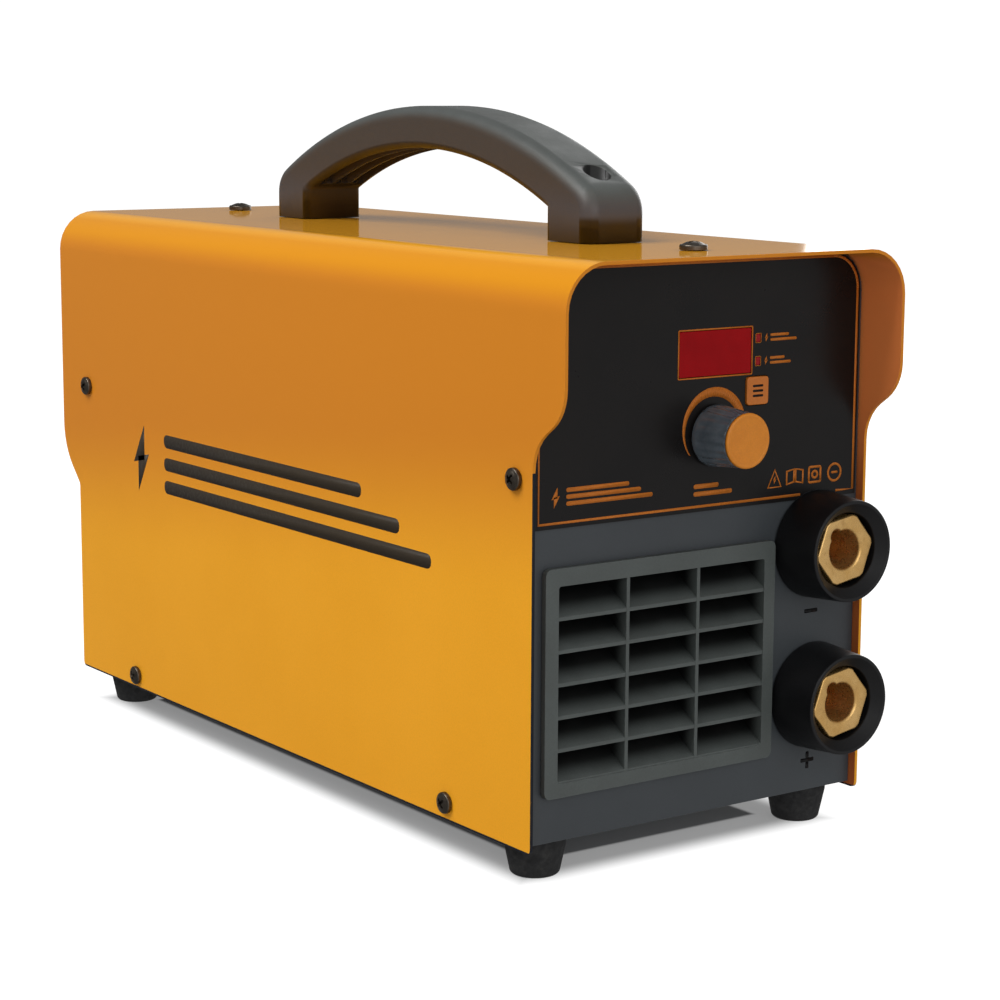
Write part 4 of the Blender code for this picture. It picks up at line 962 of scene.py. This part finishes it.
def label_marks():
    """Flashes and bars where a label has its wording, and a row of pictograms."""
    marks = []
    for name, length in (("mode_light_upper", 12 * MM), ("mode_light_lower", 9.5 * MM)):
        lamp = middle(name)
        start = lamp.x + 3.6 * MM
        marks += bolt(start, lamp.z, 3.2 * MM)
        marks += bars(start + 1.8 * MM, lamp.z, 2.6 * MM, [length, length * 0.7], 0.7 * MM)
    knob, corner = middle("knob_body"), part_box("control_label")[0]
    marks += bars(knob.x - 8.6 * MM, corner.z + 7.4 * MM, 4.2 * MM, mm(17, 11), 1 * MM)
    v = corner.z + 10.2 * MM
    marks += bolt(corner.x + 8.2 * MM, v, 7 * MM)
    marks += bars(corner.x + 12.5 * MM, v, 6 * MM, mm(36, 31, 26), 0.8 * MM)
    marks += symbols(knob.x + 24.7 * MM, corner.z + 8.4 * MM, 6 * MM, 9.3 * MM)
    return marks


def make_polarity_print():
    """Minus and plus under the sockets, on the panel."""
    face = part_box("front_panel")[0].y
    drop, shift, length, width = mm(24.1, 1.1, 6.1, 1.4)
    shapes = []
    for name in ("negative", "positive"):
        socket = middle(f"socket_brass_{name}")
        u, v = socket.x - shift, socket.z - drop
        shapes.append(rounded_box(span(u, length), span(v, width), 0.2 * MM, 2))
        if name == "positive":
            for sign in (-1, 1):
                edge = sorted((v + sign * width / 2, v + sign * 3.1 * MM))
                shapes.append(rounded_box(span(u, width), edge, 0.2 * MM, 2))
    printed("print_polarity", shapes, face, "print_black", "panel_paint")


def make_side_marks():
    """A flash and three speed stripes on each side of the hood, as flat ink."""
    hood_low, hood_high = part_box("hood_cover")
    height, middle_z, flash_y = mm(24, 111, 109)
    outlines = bolt(0, middle_z, height * 1.15)
    outlines += bars(20 * MM, middle_z, height, mm(195, 175, 150), 4 * MM)
    for name, sign, face in (("left", -1, hood_low.x), ("right", 1, hood_high.x)):
        inner, outer = sorted((face - sign * 0.01 * MM, face + sign * INK))
        flats = []
        for outline in outlines:
            places = [(sign * (u - flash_y), v) for u, v in outline]
            flats.append(prism(places, "X", inner, outer))
        piece(thing(merged(*flats), f"print_side_{name}"), "print_dark", "case", "hood_paint")


# Lead sockets

def make_sockets():
    for name in ("negative", "positive"):
        make_collar(name)
        make_brass(name)


def make_collar(name):
    """Tapered black collar with a rounded lip and a dished front."""
    node = f"socket_collar_{name}"
    low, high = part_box(node)
    front, base = low.y, (high.x - low.x) / 2
    lip, rounding = base - 1.3 * MM, 0.6 * MM
    stem, hole, recess = mm(12, 9.4, 13.2)
    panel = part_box("front_panel")[0].y - 0.3 * MM
    brass_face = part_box(f"socket_brass_{name}")[0].y
    floor = brass_face + 11.8 * MM
    inner = lip - rounding - 0.5 * MM
    profile = arc(lip - rounding, front + rounding, rounding, -90, 0, 8)
    profile += [(base, panel - 0.4 * MM), (base - 0.4 * MM, panel), (stem, panel), (stem, high.y)]
    profile += [(hole, high.y), (hole, floor), (recess, floor), (recess, brass_face - 0.2 * MM)]
    profile += [(recess + 0.3 * MM, brass_face - 0.6 * MM), (inner - 0.8 * MM, front + 0.9 * MM)]
    profile += [(inner - 0.3 * MM, front + 0.25 * MM), (inner, front)]
    collar = thing(lathe(profile, "Y", middle(node).xz, 128, closed=True), f"{node}_lip")
    soften(collar, 0)
    piece(collar, "black_plastic", "case", "black_plastic", node)


def outer_reach(angle):
    """Distance from the insert's centre to its side: a hexagon turned down at its corners."""
    sector = math.radians(60)
    offset = (angle - math.radians(HEXAGON_TURN) + sector) % sector - sector / 2
    return min(TURNED_RADIUS, ACROSS_FLATS / 2 / math.cos(offset))


def bore_reach(angle):
    """Distance from the bore's centre to its wall, with the rounded keyway on one side."""
    inside = KEYWAY_REACH - KEYWAY_HALF
    offset = angle - math.radians(KEYWAY_ANGLE)
    across = inside * math.sin(offset)
    if abs(across) >= KEYWAY_HALF or math.cos(offset) <= 0:
        return BORE
    return max(BORE, inside * math.cos(offset) + math.sqrt(KEYWAY_HALF ** 2 - across ** 2))


def make_brass(name):
    """Brass insert with a keyed bore, from rows of shape (None is round), growth and place."""
    node = f"socket_brass_{name}"
    low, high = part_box(node)
    u, v = middle(f"socket_collar_{name}").xz
    face, end, stem, count = low.y, high.y, 9 * MM, 240
    shoulder, keyway_end, bottom = face + 11.5 * MM, face + 12 * MM, face + 26 * MM
    rows = [
        (None, 0, bottom), (None, BORE, bottom), (None, BORE, keyway_end),
        (bore_reach, 0, keyway_end), (bore_reach, 0, face + 1.2 * MM),
        (bore_reach, 0.4 * MM, face + 0.6 * MM), (bore_reach, 1.2 * MM, face),
        (outer_reach, -0.7 * MM, face), (outer_reach, -0.2 * MM, face + 0.25 * MM),
        (outer_reach, 0, face + 0.8 * MM), (outer_reach, 0, shoulder), (None, stem, shoulder),
        (None, stem, end - 0.6 * MM), (None, stem - 0.6 * MM, end), (None, 0, end),
    ]
    angles = [math.tau * i / count for i in range(count)]
    rings = []
    for shape, growth, along in rows:
        reaches = [(growth + (shape(a) if shape else 0), a) for a in angles]
        if not shape and not growth:
            reaches = [(0, 0)]
        rings.append([spot("Y", u + reach * math.cos(a), v + reach * math.sin(a), along)
                      for reach, a in reaches])
    insert = soften(thing(skin(rings), f"{node}_insert"), 0)
    piece(insert, "brass", "case", "brass", node)
    insert.data.set_sharp_from_angle(angle=math.radians(40))


# Handle

def make_handle():
    """Bow handle with rounded long edges, channelled underside and screw wells."""
    low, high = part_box("handle")
    outside, inside = bow_outline(low, high), grip_outline(low, high)
    outline = outside + inside
    bm = prism(outline, "X", low.x, high.x)
    for first, last, width, steps in ((0, len(outside) - 1, 5.5 * MM, 8),
                                      (len(outside), len(outline) - 1, 2.9 * MM, 6)):
        chosen = [edge for edge in bm.edges if long_edge(edge, outline, first, last)]
        bmesh.ops.bevel(bm, geom=chosen, offset=width, segments=steps, profile=0.5, affect="EDGES")
    handle = thing(bm, "handle_bow")
    carve(handle, *handle_channels(low, high))
    for end in ("front", "rear"):
        for cutter in handle_well(middle(f"handle_screw_{end}"), low.z, high.z):
            carve(handle, cutter)
    soften(handle, 0)
    piece(handle, "handle_plastic", "case", "handle_plastic", "handle")


def bow_outline(low, high):
    """The handle's outside seen from its side: two legs, two shoulders and the bow between."""
    y, half_length = (low.y + high.y) / 2, (high.y - low.y) / 2
    bow_z = high.z - BOW_RADIUS
    shoulder_y, inner_radius = half_length - SHOULDER_RADIUS, BOW_RADIUS - SHOULDER_RADIUS
    lean = math.degrees(math.acos(shoulder_y / inner_radius))
    shoulder_z = bow_z + inner_radius * math.sin(math.radians(lean))
    outline = [(y - half_length, low.z)]
    outline += arc(y - shoulder_y, shoulder_z, SHOULDER_RADIUS, 180, 180 - lean, 12)
    outline += arc(y, bow_z, BOW_RADIUS, 180 - lean, lean, 48)[1:-1]
    outline += arc(y + shoulder_y, shoulder_z, SHOULDER_RADIUS, lean, 0, 12)
    outline.append((y + half_length, low.z))
    return outline


def grip_arc(low, high, half, growth, steps):
    """An arc about the grip opening's centre, from its front to its rear end."""
    y, z = (low.y + high.y) / 2, low.z + GRIP_RISE - GRIP_RADIUS
    lean = math.degrees(math.acos(half / GRIP_RADIUS))
    return arc(y, z, GRIP_RADIUS + growth, lean, 180 - lean, steps)


def grip_outline(low, high):
    y = (low.y + high.y) / 2
    return [(y + GRIP_HALF, low.z), *grip_arc(low, high, GRIP_HALF, 0, 40), (y - GRIP_HALF, low.z)]


def long_edge(edge, outline, first, last):
    """True for an edge that follows the outline between two of its points."""
    near = []
    for vert in edge.verts:
        gaps = [(abs(vert.co.y - u) + abs(vert.co.z - v), i) for i, (u, v) in enumerate(outline)]
        gap, index = min(gaps)
        if gap > 0.01 * MM:
            return False
        near.append(index)
    level = abs(edge.verts[0].co.x - edge.verts[1].co.x) < 0.01 * MM
    return level and first <= min(near) and max(near) <= last


def handle_channels(low, high):
    """Three channels along the underside, with two ribs left between them."""
    wall, rib, depth, half = mm(3, 1.8, 6.5, 76)
    upper, lower = grip_arc(low, high, half, depth, 32), grip_arc(low, high, half, -depth, 12)
    outline = upper + lower[::-1]
    clear = high.x - low.x - 2 * wall
    width = (clear - 2 * rib) / 3
    starts = [i * (width + rib) - clear / 2 for i in range(3)]
    return [prism(outline, "X", start, start + width) for start in starts]


def handle_well(place, base, top):
    """Cutters for a screw's sunk well, and for the hole under it."""
    seat, hole = base + 9 * MM, 2.8 * MM
    over = 1 * MM
    cutters = []
    for radius, start, end, steps in (
            (HANDLE_WELL_RADIUS, seat, top + over, 48), (hole, base - over, seat + over, 32)):
        profile = [(0, start), (radius, start), (radius, end), (0, end)]
        cutters.append(lathe(profile, "Z", place.xy, steps))
    return cutters


# Stage

def paper_sheet(name, drop, material):
    """A level sheet of paper, drop metres under the feet."""
    bm = bmesh.new()
    bmesh.ops.create_grid(bm, x_segments=8, y_segments=8, size=6)
    sheet = thing(bm, name)
    sheet.location.z = LOW.z - drop
    sheet.data.materials.append(material)
    sheet.visible_glossy = False
    return sheet


def make_floor():
    """A floor with a painted shadow under the object, and a greyer one under it that only throws
    light back.
    """
    floor = paper_sheet("floor", 0, floor_paper())
    for kind in ("diffuse", "shadow", "transmission"):
        setattr(floor, f"visible_{kind}", False)
    bounce = paper_sheet("floor_bounce", 0.2 * MM, bounce_paper())
    bounce.visible_camera = False


def make_backdrop():
    """White paper all round, far off, which only the camera sees."""
    bm = bmesh.new()
    bmesh.ops.create_cone(bm, segments=64, radius1=5.8, radius2=5.8, depth=9, cap_ends=False)
    wall = thing(bm, "backdrop")
    surface = Surface("backdrop_paper", 0.9)
    surface.set(Base_Color=(0, 0, 0, 1), Emission_Color=WHITE, Emission_Strength=1.05)
    wall.data.materials.append(surface.material)
    for kind in ("diffuse", "glossy", "transmission", "shadow"):
        setattr(wall, f"visible_{kind}", False)


def make_sky():
    """Even grey surroundings that brighten towards the front."""
    world = bpy.data.worlds.new("studio")
    world.use_nodes = True
    tree = world.node_tree
    place = tree.nodes.new("ShaderNodeTexCoord")
    split = tree.nodes.new("ShaderNodeSeparateXYZ")
    tree.links.new(place.outputs["Generated"], split.inputs[0])
    ramp = tree.nodes.new("ShaderNodeMapRange")
    ramp.interpolation_type = "SMOOTHSTEP"
    ends = (("From Min", 0), ("From Max", -0.8), ("To Min", SKY_ROUND), ("To Max", SKY_FRONT))
    for name, value in ends:
        ramp.inputs[name].default_value = value
    tree.links.new(split.outputs["Y"], ramp.inputs["Value"])
    tree.nodes["Background"].inputs["Color"].default_value = WHITE
    tree.links.new(ramp.outputs[0], tree.nodes["Background"].inputs["Strength"])
    bpy.context.scene.world = world


def make_lights():
    for name, (place, size, power) in LIGHTS.items():
        data = bpy.data.lights.new(name, "AREA")
        data.shape = "RECTANGLE"
        data.size, data.size_y = size
        data.energy = power
        light = bpy.data.objects.new(name, data)
        light.location = place
        direction = Vector(LIGHT_TARGET) - Vector(place)
        light.rotation_euler = direction.to_track_quat("-Z", "Y").to_euler()
        bpy.context.collection.objects.link(light)


def make_camera():
    data = bpy.data.cameras.new("camera")
    data.lens = CAMERA_LENS
    data.sensor_width = SENSOR
    camera = bpy.data.objects.new("camera", data)
    camera.location = CAMERA_PLACE
    turn = Matrix.Rotation(math.radians(-CAMERA_YAW), 4, "Z")
    turn @= Matrix.Rotation(math.radians(90 - CAMERA_PITCH), 4, "X")
    turn @= Matrix.Rotation(math.radians(CAMERA_ROLL), 4, "Z")
    camera.rotation_euler = turn.to_euler()
    bpy.context.collection.objects.link(camera)
    bpy.context.scene.camera = camera


def write_sizes():
    """Update the view layer."""
    bpy.context.view_layer.update()


bpy.context.scene.view_settings.view_transform = "Standard"
dress_solids()
make_feet()
make_screws()
make_knob()
make_label_print()
make_polarity_print()
make_side_marks()
make_sockets()
make_handle()
make_floor()
make_backdrop()
make_sky()
make_lights()
make_camera()
write_sizes()
